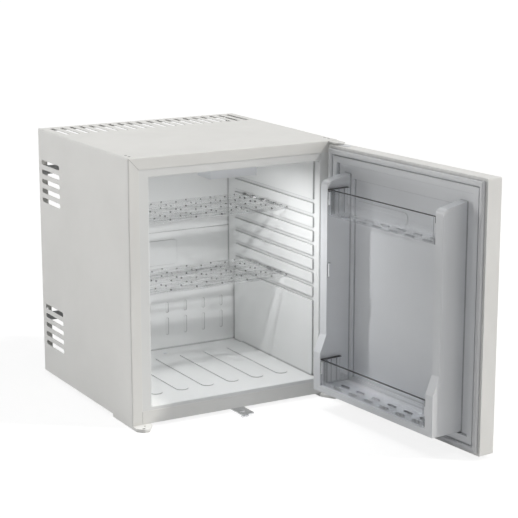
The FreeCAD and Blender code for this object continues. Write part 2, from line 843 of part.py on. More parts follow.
def dyke_profile(shrink):
    """Side view of the dykes: a sloping top with a round nose, a flare, a deep lower part."""
    y_root = panel_y - door_wall
    y_upper = door_back + dyke_upper_depth - shrink
    y_lower = door_back + dyke_lower_depth - shrink
    z_bottom = base + bar_rise + shrink
    z_top = door_top - dyke_top_drop - shrink
    z_nose = z_top - dyke_top_fall
    outline = [V(-half, y_root, z_bottom), V(-half, y_lower, z_bottom),
               V(-half, y_lower, base + flare_bottom_rise),
               V(-half, y_upper, base + flare_top_rise),
               V(-half, y_upper, z_nose), V(-half, y_root, z_top)]
    block = prism(outline, X_AXIS * shell_width)
    edges = [edge for edge in block.Edges if edge.Length > shell_width - seat_gap
             and abs(edge.CenterOfMass.z - z_nose) < seat_gap
             and abs(edge.CenterOfMass.y - y_upper) < seat_gap]
    return block.makeFillet(dyke_corner_radius, edges)


def liner_form(shrink):
    """The door liner's raised form: panel, two dykes and the bar that joins them below."""
    border = gasket_inset + gasket_width + gasket_gap
    inset = border + shrink
    y_face = door_back + panel_rise - shrink
    y_base = door_back - sheet
    plate = box(-half + inset, half - inset, y_base, y_face,
                door_bottom + inset, door_top - inset)
    pans = [door_recess(door_wall, y_base), door_bay(door_wall, y_base)]
    hollows = [door_recess(shrink, y_face + overrun), door_bay(shrink, y_face + overrun)]
    bar_top = base + bar_rise + bar_height - shrink
    profile = dyke_profile(shrink)
    dykes = fuse([dyke_block(half - dyke_hinge_inset, -1, shrink),
                  dyke_block(-half + dyke_free_inset, 1, shrink)]).common(profile)
    bar = profile.common(box(rack_inner_end - dyke_width / 2, rack_hinge_end + dyke_width / 2,
                             panel_y - door_wall, door_back + dyke_lower_depth,
                             base + bar_rise, bar_top))
    return fuse([fuse([plate] + pans).cut(hollows), dykes, bar])


def door_recess(extra, y_open):
    """The panel inside its border, set back from it, grown by extra and open at y_open."""
    step = gasket_inset + gasket_width + gasket_gap + panel_border - extra
    return box(-half + step, half - step, panel_y - extra, y_open,
               door_bottom + step, door_top - step)


def door_bay(extra, y_open):
    """The field between the dykes, set back from the panel, grown by extra and open at y_open."""
    side = bay_side_gap - extra
    return box(rack_inner_end + side, rack_hinge_end - side, bay_y - extra, y_open,
               base + bay_foot_rise - extra, door_top - bay_top_drop + extra)


def make_door_liner(outer, inner):
    """Vacuum-formed door liner: a flat flange under the gasket, the raised form and its nubs."""
    rim = gasket_inset + gasket_width + gasket_gap + door_wall
    flange = ring(gasket_inset, rim - gasket_inset, door_back, door_back + door_wall)
    nubs = (rack_nubs(nub_top_of(top_rack_floor), dyke_upper_depth)
            + rack_nubs(nub_top_of(low_rack_floor), dyke_lower_depth)
            + rack_nubs(door_top - spare_nub_drop, dyke_upper_depth))
    plaque_top = door_top - plaque_drop
    plaque = upright_field(plaque_left, plaque_right, bay_y, bay_y + plaque_raise,
                           plaque_top - plaque_height, plaque_top, plaque_corner)
    return fuse([flange, outer.cut(inner), plaque] + nubs)


def make_door_foam(inner, cutters):
    """Insulation inside the door skin and inside the dykes."""
    core = box(-half + sheet, half - sheet, door_front + sheet, door_back - sheet,
               door_bottom + sheet, door_top - sheet)
    core = core.cut([door_recess(door_wall, door_back - sheet),
                     door_bay(door_wall, door_back - sheet)])
    border = gasket_inset + gasket_width + gasket_gap
    rim = ring(door_hem, border - door_hem, door_back - sheet, door_back)
    cam_room_box = box(-cam_length - cam_room, cam_hub_radius + cam_room,
                       door_front + lock_depth, cam_front + cam_thickness + 2 * cam_cap_thickness,
                       door_bottom + sheet, lock_z + cam_hub_radius + cam_room)
    return fuse([core, rim, inner]).cut([cam_room_box] + cutters)


def ring(inset, width, y0, y1):
    """A flat frame round the door, a given distance in from its edge."""
    outer = box(-half + inset, half - inset, y0, y1, door_bottom + inset, door_top - inset)
    inner = inset + width
    return outer.cut(box(-half + inner, half - inner, y0 - overrun, y1 + overrun,
                         door_bottom + inner, door_top - inner))


def make_gasket():
    """Magnetic door seal with a bevelled outer edge, and the magnet strip inside it."""
    y0 = door_back + door_wall
    y1 = door_back + gasket_height
    seal = ring(gasket_inset, gasket_width, y0, y1)
    outer_front = [edge for edge in seal.Edges
                   if abs(edge.CenterOfMass.y - y1) < seat_gap and is_outer_ring_edge(edge)]
    seal = seal.makeChamfer(gasket_bevel, outer_front)
    y_mid = (y0 + y1) / 2 - sheet / 2
    middle = gasket_inset + gasket_width / 2 - gasket_channel / 2 + gasket_bevel / 2
    magnet = ring(middle, gasket_channel, y_mid, y_mid + gasket_channel / 2)
    return seal.cut(magnet), magnet


def is_outer_ring_edge(edge):
    """True for an edge on the gasket's outer border."""
    point = edge.CenterOfMass
    at_side = abs(abs(point.x) - (half - gasket_inset)) < seat_gap
    at_bottom = abs(point.z - (door_bottom + gasket_inset)) < seat_gap
    at_top = abs(point.z - (door_top - gasket_inset)) < seat_gap
    return at_side or at_bottom or at_top


def bush_solid(end, bore):
    """Hinge bush of the door: a plate outside and a sleeve inside; end is 1 on top, -1 below."""
    seat = door_top if end > 0 else door_bottom
    radius = pin_diameter / 2 + bush_fit
    sleeve = radius + bush_wall
    axis = Z_AXIS * end
    start = V(pivot_x, pivot_y, seat)
    length = pin_depth + bush_wall
    plate_end = pivot_x - (bush_plate_length - sleeve)
    z0, z1 = sorted((seat, seat + end * bush_flange))
    body = fuse([
        rod(start - axis * length, sleeve, length + bush_flange, axis),
        box(plate_end, pivot_x, pivot_y - sleeve, pivot_y + sleeve, z0, z1),
        rod(V(plate_end, pivot_y, z0), sleeve, bush_flange, Z_AXIS),
    ])
    if not bore:
        return body
    return body.cut(rod(start - axis * (pin_depth + bush_wall / 2), radius,
                        length + bush_flange + overrun, axis))


# Door racks, built closed

def nub_top_of(floor):
    """Upper end of the nubs that carry a rack whose floor is at a given height."""
    return floor + rack_height - 2 * rack_wall - seat_gap


def nub_limits(depth):
    """Front and back of the nubs that carry a rack on the dykes' inner faces."""
    y1 = door_back + depth - nub_setback
    return y1 - nub_width, y1


def rack_nubs(z_top, depth):
    """A pair of nubs on the dykes' inner faces, with their upper ends at z_top."""
    y0, y1 = nub_limits(depth)
    z0 = z_top - nub_height
    return [box(rack_inner_end - overrun, rack_inner_end + nub_thickness, y0, y1, z0, z_top),
            box(rack_hinge_end - nub_thickness, rack_hinge_end + overrun, y0, y1, z0, z_top)]


def make_rack(z0, depth):
    """Clear tray hung on its nubs: front wall, ends with channels, slotted floor."""
    x0 = rack_inner_end + rack_end_gap
    x1 = rack_hinge_end - rack_end_gap
    y1 = door_back + depth - rack_end_gap
    y0 = y1 - rack_depth
    z1 = z0 + rack_height
    nub_y0, nub_y1 = nub_limits(depth)
    boss_y = nub_y0 - nub_fit - rack_wall
    tray = fuse([
        box(x0, x1, y0, y1, z0, z0 + rack_wall),
        box(x0, x1, y1 - rack_wall, y1, z0, z1),
        box(x0, x0 + rack_wall, y0, y1, z0, z1),
        box(x1 - rack_wall, x1, y0, y1, z0, z1),
        box(x0, x1, y1 - rack_wall - rack_rim, y1, z1 - rack_wall, z1),
        box(x0, x1, y0, y0 + rack_wall, z0, z0 + rack_height / 3),
        box(x0, x0 + rack_end_wall, boss_y, y1, z0, z1),
        box(x1 - rack_end_wall, x1, boss_y, y1, z0, z1),
    ])
    reach = nub_thickness + nub_fit
    cuts = [box(x0 - overrun, x0 + reach, nub_y0 - nub_fit, nub_y1 + nub_fit,
                z0 - overrun, z1 - 2 * rack_wall),
            box(x1 - reach, x1 + overrun, nub_y0 - nub_fit, nub_y1 + nub_fit,
                z0 - overrun, z1 - 2 * rack_wall)]
    first = (x0 + x1) / 2 + rack_slot_shift - (rack_slot_count - 1) * rack_slot_pitch / 2
    for setback in rack_slot_rows:
        for n in range(rack_slot_count):
            cuts.append(stadium(V(first + n * rack_slot_pitch, y1 - setback, z0 - overrun),
                                rack_floor_slot, rack_slot_width, rack_wall + 2 * overrun,
                                X_AXIS, Z_AXIS))
    return tray.cut(cuts)


# Lock

def make_lock():
    """Key cylinder in the door's face with a shaft and cap, and the cam that turns on it."""
    cylinder = rod(V(0, door_front, lock_z), lock_radius, lock_depth, Y_AXIS)
    cap_y = cam_front + cam_thickness + seat_gap
    shaft = rod(V(0, door_front, lock_z), cam_shaft_radius, cap_y - door_front, Y_AXIS)
    cap = rod(V(0, cap_y, lock_z), cam_cap_radius, cam_cap_thickness, Y_AXIS)
    key = box(-lock_key_width / 2, lock_key_width / 2, door_front - overrun,
              door_front + lock_key_depth, lock_z - lock_radius / 2, lock_z + lock_radius / 2)
    body = fuse([cylinder, shaft, cap]).cut(key)
    cam = fuse([
        rod(V(0, cam_front, lock_z), cam_hub_radius, cam_thickness, Y_AXIS),
        box(-cam_length, 0, cam_front, cam_front + cam_thickness,
            lock_z - cam_width / 2, lock_z + cam_width / 2),
    ])
    bore = rod(V(0, cam_front - overrun, lock_z), cam_shaft_radius + cam_fit,
               cam_thickness + 2 * overrun, Y_AXIS)
    return body, cam.cut(bore)


# Cooling unit

def boiler_axes():
    """Feet of the boiler's tube and of its heater, at the can's bottom."""
    x0 = -inside + boiler_side
    z0 = base + boiler_rise
    return V(x0 + boiler_width / 3, unit_y, z0), V(x0 + boiler_width * 2 / 3, unit_y, z0)


def make_boiler():
    """Insulated boiler can round the riser, and the heater cartridge beside the riser."""
    x0 = -inside + boiler_side
    z0 = base + boiler_rise
    middle = z0 + boiler_height / 2
    can = rounded_block(x0, x0 + boiler_width, unit_y - boiler_depth / 2,
                        unit_y + boiler_depth / 2, z0, z0 + boiler_height, boiler_corner,
                        lambda point: abs(point.z - middle) < seat_gap)
    tube_foot, heater_foot = boiler_axes()
    tube_hole = rod(tube_foot - Z_AXIS * overrun, tube_radius,
                    boiler_height + 2 * overrun, Z_AXIS)
    heater = rod(heater_foot - Z_AXIS * heater_tail, heater_radius,
                 heater_length + heater_tail, Z_AXIS)
    return can.cut([tube_hole, heater]), heater


def condenser_height():
    """Height of the condenser tube's middle line."""
    return top - condenser_drop


def make_condenser():
    """Tube up out of the boiler, across the top with fins, and down to the supply pipe."""
    z = condenser_height()
    foot = boiler_axes()[0]
    x_right = inside - drop_side
    points = [V(foot.x, unit_y, foot.z - 2 * tube_radius), V(foot.x, unit_y, z),
              V(x_right, unit_y, z), V(x_right, unit_y, evaporator_top()),
              V(supply_x() - 2 * thin_tube_radius, unit_y, evaporator_top())]
    fins = []
    first = foot.x + tube_bend + fin_gap
    count = int((x_right - tube_bend - fin_gap - first) / fin_pitch) + 1
    for n in range(count):
        x = first + n * fin_pitch
        fins.append(box(x, x + fin_thickness, unit_y - fin_width / 2, unit_y + fin_width / 2,
                        z - fin_height / 2, z + fin_height / 2))
    hole = rod(V(-half, unit_y, z), tube_radius, shell_width, X_AXIS)
    return bent_tube(points, tube_radius, tube_bend), [fin.cut(hole) for fin in fins]


def evaporator_top():
    """Height of the evaporator coil's highest run."""
    return cavity_ceiling - evaporator_drop


def evaporator_low():
    """Height of the evaporator coil's lowest run."""
    return evaporator_top() + 2 * evaporator_tube - evaporator_height


def supply_x():
    """Place of the supply pipe, near one end of the coil's highest run."""
    return evaporator_width / 2 - supply_inset


def outlet_x():
    """Place of the outlet pipe, in line with the absorber's upright."""
    return -inside + boiler_side + boiler_width + coil_gap + tube_radius


def make_evaporator():
    """Aluminium plate on the liner's back and the coil clamped to it, inside the insulation."""
    z1 = evaporator_top() + evaporator_tube
    side = evaporator_width / 2
    plate_y = upper_back + liner_wall
    plate = box(-side, side, plate_y, plate_y + evaporator_plate, z1 - evaporator_height, z1)
    y = plate_y + evaporator_plate + evaporator_tube
    reach = side - evaporator_tube
    high = evaporator_top()
    low = evaporator_low()
    middle = (high + low) / 2
    points = [V(reach - evaporator_tube, y, high), V(-reach, y, high), V(-reach, y, middle),
              V(reach, y, middle), V(reach, y, low), V(-reach, y, low)]
    return plate, bent_tube(points, evaporator_tube, (high - middle) / 2 - seat_gap)


def make_links(neighbours):
    """Two short pipes through the rear panel, from the coil's ends to the unit outside."""
    y0 = upper_back + liner_wall + evaporator_plate + evaporator_tube
    starts = [V(supply_x(), y0, evaporator_top()), V(outlet_x(), y0, evaporator_low())]
    return [rod(start, thin_tube_radius, unit_y - y0, Y_AXIS).cut(neighbours) for start in starts]


def vessel_start():
    """Left end of the absorber vessel's axis."""
    return V(boiler_axes()[0].x + vessel_lead, unit_y, base + vessel_rise)


def make_absorber():
    """Horizontal vessel with domed ends and the coil that runs down into it."""
    left = vessel_start()
    vessel = rod(left, vessel_radius, control_limits()[0] - vessel_gap - left.x, X_AXIS)
    vessel = vessel.makeFillet(vessel_end, [edge for edge in vessel.Edges if edge.isClosed()])
    x0 = outlet_x() + 2 * tube_bend
    x1 = inside - coil_side
    z_top = base + coil_rise + (coil_runs - 1) * coil_run_pitch
    points = [V(outlet_x(), unit_y, evaporator_low() + 2 * thin_tube_radius),
              V(outlet_x(), unit_y, z_top)]
    for n in range(coil_runs):
        z = z_top - n * coil_run_pitch
        start, end = (x0, x1) if n % 2 == 0 else (x1, x0)
        if n > 0:
            points.append(V(start, unit_y, z))
        points.append(V(end, unit_y, z))
    points.append(V(points[-1].x, unit_y, left.z))
    coil = bent_tube(points, tube_radius, coil_run_pitch / 2 - seat_gap)
    return vessel.cut(coil), coil


def make_return_pipe():
    """Pipe from the vessel's end to the foot of the boiler tube."""
    start = vessel_start()
    foot = boiler_axes()[0]
    low = foot.z - 2 * tube_radius
    points = [start, V(foot.x, unit_y, start.z), V(foot.x, unit_y, low)]
    return bent_tube(points, thin_tube_radius, (low - start.z) / 3)


def strap_heights():
    """Bottom edges of the upper and the lower strap that hold the cooling unit."""
    return [condenser_height() - fin_height / 2 - strap_height,
            base + boiler_rise + strap_height / 4]


def make_straps(fasteners):
    """Straps across the back, on the inner faces of the rear flanges."""
    y1 = back - sheet
    return [box(-inside, inside, y1 - strap_thickness, y1, z, z + strap_height).cut(fasteners)
            for z in strap_heights()]


def make_strap_screws():
    """Screws through the rear flanges into the ends of the straps."""
    screws = []
    for z in strap_heights():
        for side in (-1, 1):
            seat = V(side * (half - rear_flange * 3 / 4), back, z + strap_height / 2)
            screws.append(screw(seat, -Y_AXIS, sheet + strap_thickness))
    return screws


def make_clamps(riser):
    """Blocks between the straps and the unit, one on the boiler and one on the riser."""
    y1 = back - sheet - strap_thickness
    upper, lower = strap_heights()
    x0 = -inside + boiler_side
    x_drop = inside - drop_side
    on_boiler = box(x0 + boiler_width / 4, x0 + boiler_width * 3 / 4,
                    unit_y + boiler_depth / 2, y1, lower, lower + strap_height)
    on_riser = box(x_drop - tube_radius, x_drop + tube_radius, unit_y, y1,
                   upper, upper + strap_height)
    return [on_boiler, on_riser.cut(riser)]


# Controls and drain

def control_limits():
    """Corner coordinates of the control box at the lower right of the back."""
    x1 = inside - control_side
    x0 = x1 - control_width
    y1 = back - sheet - seat_gap
    return x0, x1, y1 - control_depth, y1, base + sheet, base + sheet + control_height


def inlet_limits():
    """Opening for the power inlet in the control box's rear face."""
    x0, x1, y0, y1, z0, z1 = control_limits()
    x = (x0 + x1) / 2
    z = (z0 + z1) / 2
    return x - inlet_width / 2, x + inlet_width / 2, z - inlet_height / 2, z + inlet_height / 2


def make_control_box():
    """Plastic box for the electronics, standing on the pan, with the inlet opening."""
    x0, x1, y0, y1, z0, z1 = control_limits()
    middle = (z0 + z1) / 2
    case = rounded_block(x0, x1, y0, y1, z0, z1, control_wall,
                         lambda point: abs(point.z - middle) < seat_gap)
    case = case.cut(box(x0 + control_wall, x1 - control_wall, y0 + control_wall, y1 - control_wall,
                        z0 + control_wall, z1 - control_wall))
    ix0, ix1, iz0, iz1 = inlet_limits()
    return case.cut(box(ix0, ix1, y1 - control_wall - overrun, y1 + overrun, iz0, iz1))


def make_power_inlet():
    """Three-pin appliance inlet: shroud, back and contact prongs."""
    x0, x1, z0, z1 = inlet_limits()
    y1 = control_limits()[3]
    y0 = y1 - inlet_depth
    shroud = box(x0, x1, y0, y1, z0, z1)
    wall = control_wall
    pocket = box(x0 + wall, x1 - wall, y0 + wall, y1 + overrun, z0 + wall, z1 - wall)
    shroud = shroud.cut(pocket)
    middle_x = (x0 + x1) / 2
    middle_z = (z0 + z1) / 2
    prongs = []
    for share_x, share_z in ((-1 / 4, -1 / 8), (0, 1 / 8), (1 / 4, -1 / 8)):
        x = middle_x + share_x * inlet_width
        z = middle_z + share_z * inlet_height
        prongs.append(box(x - inlet_prong / 2, x + inlet_prong / 2, y0 + wall / 2, y1 - wall,
                          z - inlet_prong, z + inlet_prong))
    return fuse([shroud] + prongs)


def make_control_board():
    """Circuit board standing in the control box, with a transformer and a relay."""
    x0, x1, y0, y1, z0, z1 = control_limits()
    y = y0 + control_wall
    y_face = y + board_thickness
    edge = control_wall + seat_gap
    near = 2 * edge
    return fuse([
        box(x0 + edge, x1 - edge, y, y_face, z0 + edge, z1 - edge),
        box(x0 + near, x0 + near + relay_size, y_face, y_face + relay_depth,
            z0 + near, z0 + near + 2 * relay_size),
        box(x1 - near - relay_size, x1 - near, y_face, y_face + relay_depth,
            z1 - near - relay_size, z1 - near),
    ])


def make_heater_lead():
    """Sleeved lead from the control box over the drip tray and up to the heater's foot."""
    heater_foot = boiler_axes()[1]
    y = unit_y + lead_offset
    z = base + lead_rise
    points = [V(control_limits()[0], y, z), V(heater_foot.x, y, z),
              V(heater_foot.x, y, heater_foot.z - heater_tail)]
    return bent_tube(points, lead_radius, lead_bend)


def drain_points():
    """Corner points of the drain: down from the gutter, then back through the rear panel."""
    start = drain_centre()
    z = base + drain_run_rise
    return [start, V(start.x, start.y, z), V(start.x, panel_rear + drain_overhang, z)]


def make_drip_tray():
    """Open tray on the base pan, below the end of the drain."""
    side = tray_width / 2
    y0 = unit_y - boiler_depth / 2
    y1 = unit_y + boiler_depth / 2
    z0 = base + sheet
    tray = box(-side, side, y0, y1, z0, z0 + tray_height)
    return tray.cut(box(-side + tray_wall, side - tray_wall, y0 + tray_wall, y1 - tray_wall,
                        z0 + tray_wall, z0 + tray_height + overrun))


def make_probe():
    """Thermostat probe clamped against the liner's back, behind the rounded field."""
    y = upper_back + liner_wall + probe_radius
    z = field_top - field_height / 2
    return rod(V(field_half_width - probe_length, y, z), probe_radius, probe_length, X_AXIS)


def cooling_nodes():
    """The absorption unit and its straps; returns the nodes and the buried pieces' shapes."""
    riser, fins = make_condenser()
    boiler, heater = make_boiler()
    plate, evaporator = make_evaporator()
    vessel, coil = make_absorber()
    links = make_links([evaporator, riser, coil])
    strap_screws = make_strap_screws()
    nodes = {
        "riser_tube": riser,
        "condenser_fins": Part.makeCompound(fins),
        "boiler_casing": boiler,
        "heater_cartridge": heater,
        "evaporator_plate": plate,
        "evaporator_coil": evaporator,
        "absorber_vessel": vessel,
        "absorber_coil": coil,
        "evaporator_pipes": Part.makeCompound(links),
        "return_pipe": make_return_pipe(),
        "unit_straps": Part.makeCompound(make_straps(strap_screws)),
        "strap_screws": Part.makeCompound(strap_screws),
        "unit_clamps": Part.makeCompound(make_clamps(riser)),
    }
    return nodes, [plate, evaporator] + links, strap_screws


def cabinet_nodes():
    """Everything that stays still."""
    nodes, buried, strap_screws = cooling_nodes()
    bracket_screws = make_bracket_screws()
    tongue_screws = make_tongue_screws()
    hinge_screws = make_top_screws(1, sheet + hinge_plate_thickness)
    plugs = make_top_screws(-1, plug_length)
    drain = bent_tube(drain_points(), drain_bore / 2, drain_bend)
    drain_path = bent_tube(drain_points(), drain_bore / 2 - drain_wall, drain_bend)
    probe = make_probe()
    upper_pin, lower_pin = make_pins()
    housing, lens, lamp_board = make_lamp()
    nodes.update({
        "cabinet_shell": make_cabinet_shell(hinge_screws + plugs + strap_screws),
        "base_pan": make_base_pan(bracket_screws + tongue_screws),
        "inner_liner": make_inner_liner(),
        "cabinet_foam": make_cabinet_foam(buried + [drain, probe] + plugs),
        "rear_panel": make_rear_panel([drain] + buried),
        "lamp_housing": housing,
        "lamp_lens": lens,
        "lamp_board": lamp_board,
        "hinge_plate": make_hinge_plate(hinge_screws),
        "hinge_screws": Part.makeCompound(hinge_screws),
        "top_plugs": Part.makeCompound(plugs),
        "hinge_pin_upper": upper_pin,
        "hinge_pin_lower": lower_pin,
        "foot_bracket_right": make_bracket(1, bracket_screws),
        "foot_bracket_left": make_bracket(-1, bracket_screws),
        "bracket_screws": Part.makeCompound(bracket_screws),
        "rear_feet": make_rear_feet(),
        "catch_tongue": make_tongue(tongue_screws),
        "tongue_screws": Part.makeCompound(tongue_screws),
        "control_box": make_control_box(),
        "control_board": make_control_board(),
        "power_inlet": make_power_inlet(),
        "heater_lead": make_heater_lead(),
        "thermostat_probe": probe,
        "drain_tube": drain.cut(drain_path),
        "drip_tray": make_drip_tray(),
        "shelf_upper": make_shelf(shelf_groove_numbers[0]),
        "shelf_lower": make_shelf(shelf_groove_numbers[1]),
    })
    return nodes


def door_nodes():
    """Everything that swings with the door, turned from closed to the open pose."""
    outer = liner_form(0)
    inner = liner_form(door_wall)
    solids = [bush_solid(1, False), bush_solid(-1, False)]
    lock, cam = make_lock()
    gasket, magnet = make_gasket()
    lock_room = rod(V(0, door_front - overrun, lock_z), lock_radius, lock_depth + overrun, Y_AXIS)
    nodes = {
        "door_skin": make_door_skin(solids + [lock_room]),
        "door_liner": make_door_liner(outer, inner),
        "door_foam": make_door_foam(inner, solids + [lock_room]),
        "door_gasket": gasket,
        "gasket_magnet": magnet,
        "door_bush_upper": bush_solid(1, True),
        "door_bush_lower": bush_solid(-1, True),
        "lock_cylinder": lock,
        "lock_cam": cam,
        "door_rack_upper": make_rack(top_rack_floor, dyke_upper_depth),
        "door_rack_lower": make_rack(low_rack_floor, dyke_lower_depth),
    }
    for shape in nodes.values():
        shape.rotate(V(pivot_x, pivot_y, 0), Z_AXIS, open_angle)
    return nodes


os.makedirs("parts", exist_ok=True)
all_nodes = cabinet_nodes()
all_nodes.update(door_nodes())
for node_name, shape in all_nodes.items():
    shape.exportStep("parts/" + node_name + ".step")
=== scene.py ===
import json
import math

import bmesh
import bpy
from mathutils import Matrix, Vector


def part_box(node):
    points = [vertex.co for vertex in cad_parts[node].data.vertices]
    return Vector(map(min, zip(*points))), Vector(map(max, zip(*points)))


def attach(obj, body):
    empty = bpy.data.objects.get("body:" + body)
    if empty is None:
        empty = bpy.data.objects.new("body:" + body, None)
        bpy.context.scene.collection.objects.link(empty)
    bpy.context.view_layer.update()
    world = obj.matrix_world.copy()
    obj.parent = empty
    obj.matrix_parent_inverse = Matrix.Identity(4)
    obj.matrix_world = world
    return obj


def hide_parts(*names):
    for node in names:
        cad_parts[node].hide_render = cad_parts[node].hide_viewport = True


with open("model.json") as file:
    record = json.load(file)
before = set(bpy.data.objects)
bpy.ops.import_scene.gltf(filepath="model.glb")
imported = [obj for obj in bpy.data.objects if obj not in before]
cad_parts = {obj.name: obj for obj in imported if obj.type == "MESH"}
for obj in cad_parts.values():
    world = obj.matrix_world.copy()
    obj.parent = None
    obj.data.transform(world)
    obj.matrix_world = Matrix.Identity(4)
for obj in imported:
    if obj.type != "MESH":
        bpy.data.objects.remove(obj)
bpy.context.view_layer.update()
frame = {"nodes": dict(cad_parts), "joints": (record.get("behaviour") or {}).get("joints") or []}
nodes = frame["nodes"]
scene = bpy.context.scene


# Camera at the photograph's angle
EYE = Vector((-1.3042, -2.5458, 0.8924))
YAW = math.radians(29.74)
PITCH = math.radians(13.035)
FOCAL_PX = 1637.5
FRAME_PX = 518.0
SENSOR = 36.0                   # in millimetres
camera_data = bpy.data.cameras.new("camera")
camera_data.sensor_width = SENSOR
camera_data.lens = FOCAL_PX / FRAME_PX * SENSOR
camera_data.clip_start = 0.1
camera_data.clip_end = 100.0
camera = bpy.data.objects.new("camera", camera_data)
scene.collection.objects.link(camera)
camera.location = EYE
look = Vector((math.sin(YAW) * math.cos(PITCH), math.cos(YAW) * math.cos(PITCH), -math.sin(PITCH)))
camera.rotation_mode = "QUATERNION"
camera.rotation_quaternion = look.to_track_quat("-Z", "Y")
scene.camera = camera
scene.view_settings.view_transform = "Standard"


# What the frame says about the object, in metres
hinge = next(joint for joint in frame["joints"] if joint["name"] == "door_hinge")
HINGE_X, HINGE_Y = hinge["pos_m"][:2]
OPEN = math.radians(-hinge["range_deg"][0])
shell_low, shell_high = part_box("cabinet_shell")
HALF, TOP, FRONT = shell_high[0], shell_high[2], shell_low[1]
rail_low, rail_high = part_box("base_pan")
door_low, door_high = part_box("door_skin")
DOOR_GAP = 0.007                # from the cabinet's front to the shut door's back
DOOR_BACK = FRONT - DOOR_GAP
RACK_WALL = 0.002
SKIN = 0.00005                  # how far a surface piece stands off the surface it marks


# Material helpers
def new_material(name):
    """A material with its nodes; returns it, its node tree and its main shader."""
    material = bpy.data.materials.new(name)
    material.use_nodes = True
    tree = material.node_tree
    return material, tree, tree.nodes["Principled BSDF"]


def place(tree, stretch=None):
    """Object coordinates, each axis scaled by stretch."""
    coords = tree.nodes.new("ShaderNodeTexCoord")
    mapping = tree.nodes.new("ShaderNodeMapping")
    tree.links.new(coords.outputs["Object"], mapping.inputs["Vector"])
    if stretch:
        mapping.inputs["Scale"].default_value = stretch
    return mapping.outputs["Vector"]


def noise(tree, scale, detail=3.0, rough=0.5, stretch=None):
    """A noise texture in object coordinates."""
    texture = tree.nodes.new("ShaderNodeTexNoise")
    texture.inputs["Scale"].default_value = scale
    texture.inputs["Detail"].default_value = detail
    texture.inputs["Roughness"].default_value = rough
    tree.links.new(place(tree, stretch), texture.inputs["Vector"])
    return texture.outputs["Fac"]


def axis_value(tree, axis):
    """One object coordinate, in metres."""
    split = tree.nodes.new("ShaderNodeSeparateXYZ")
    tree.links.new(place(tree), split.inputs["Vector"])
    return split.outputs[axis]


def ramp(tree, factor, low, high, start=0.35, end=0.65):
    """A colour ramp between two colours."""
    node = tree.nodes.new("ShaderNodeValToRGB")
    node.color_ramp.elements[0].position = start
    node.color_ramp.elements[1].position = end
    node.color_ramp.elements[0].color = (*low, 1.0)
    node.color_ramp.elements[1].color = (*high, 1.0)
    tree.links.new(factor, node.inputs["Fac"])
    return node.outputs["Color"]


def remap(tree, factor, low, high, start=0.3, end=0.7):
    """A number that goes from low to high as factor goes from start to end."""
    node = tree.nodes.new("ShaderNodeMapRange")
    node.inputs["From Min"].default_value = start
    node.inputs["From Max"].default_value = end
    node.inputs["To Min"].default_value = low
    node.inputs["To Max"].default_value = high
    tree.links.new(factor, node.inputs["Value"])
    return node.outputs["Result"]


def combine(tree, kind, first, second):
    """One of the math operations on two numbers."""
    node = tree.nodes.new("ShaderNodeMath")
    node.operation = kind
    tree.links.new(first, node.inputs[0])
    tree.links.new(second, node.inputs[1])
    return node.outputs["Value"]


def blend_colors(tree, factor, first, second):
    """A mix of two colours."""
    node = tree.nodes.new("ShaderNodeMix")
    node.data_type = "RGBA"
    tree.links.new(factor, node.inputs["Factor"])
    tree.links.new(first, node.inputs["A"])
    tree.links.new(second, node.inputs["B"])
    return node.outputs["Result"]


def bump(tree, height, strength, distance, under=None):
    """A bump from a height, on top of another normal if there is one."""
    node = tree.nodes.new("ShaderNodeBump")
    node.inputs["Strength"].default_value = strength
    node.inputs["Distance"].default_value = distance
    tree.links.new(height, node.inputs["Height"])
    if under is not None:
        tree.links.new(under, node.inputs["Normal"])
    return node.outputs["Normal"]


def soft_edges(tree, radius):
    """Normals that round every edge a little, as folded sheet and moulded plastic have them."""
    node = tree.nodes.new("ShaderNodeBevel")
    node.samples = 6
    node.inputs["Radius"].default_value = radius
    return node.outputs["Normal"]


def painted_corner_shade(tree, reach, dark, full):
    """Zero in grooves and inner corners, one on open surfaces: the mask of the painted shade in
    corners.
    """
    node = tree.nodes.new("ShaderNodeAmbientOcclusion")
    node.samples = 8
    node.only_local = True
    node.inputs["Distance"].default_value = reach
    return remap(tree, node.outputs["AO"], 0.0, 1.0, dark, full)


def for_shadows(tree, number, in_shadow):
    """A number for what is seen and another one for the light that passes."""
    path = tree.nodes.new("ShaderNodeLightPath")
    node = tree.nodes.new("ShaderNodeMix")
    tree.links.new(path.outputs["Is Shadow Ray"], node.inputs["Factor"])
    tree.links.new(number, node.inputs["A"])
    tree.links.new(in_shadow, node.inputs["B"])
    return node.outputs["Result"]


def seen_directly(tree):
    """One for what the camera sees, also in reflections and through clear plastic."""
    path = tree.nodes.new("ShaderNodeLightPath")
    gloss = combine(tree, "MAXIMUM", path.outputs["Is Camera Ray"], path.outputs["Is Glossy Ray"])
    return combine(tree, "MAXIMUM", gloss, path.outputs["Is Transmission Ray"])


# Opaque materials
COAT_ROUGH = 0.12
GLOSS_SPREAD = 0.15                     # either way, as a share of the roughness
PAINTED_SHADE_TONE = 0.30                      # the painted shade's colour in grooves and corners, as a share of the open surface's
FULL_SHADE_AT, NO_SHADE_AT = 0.34, 0.90   # openness at which a surface takes all the painted shade, or none
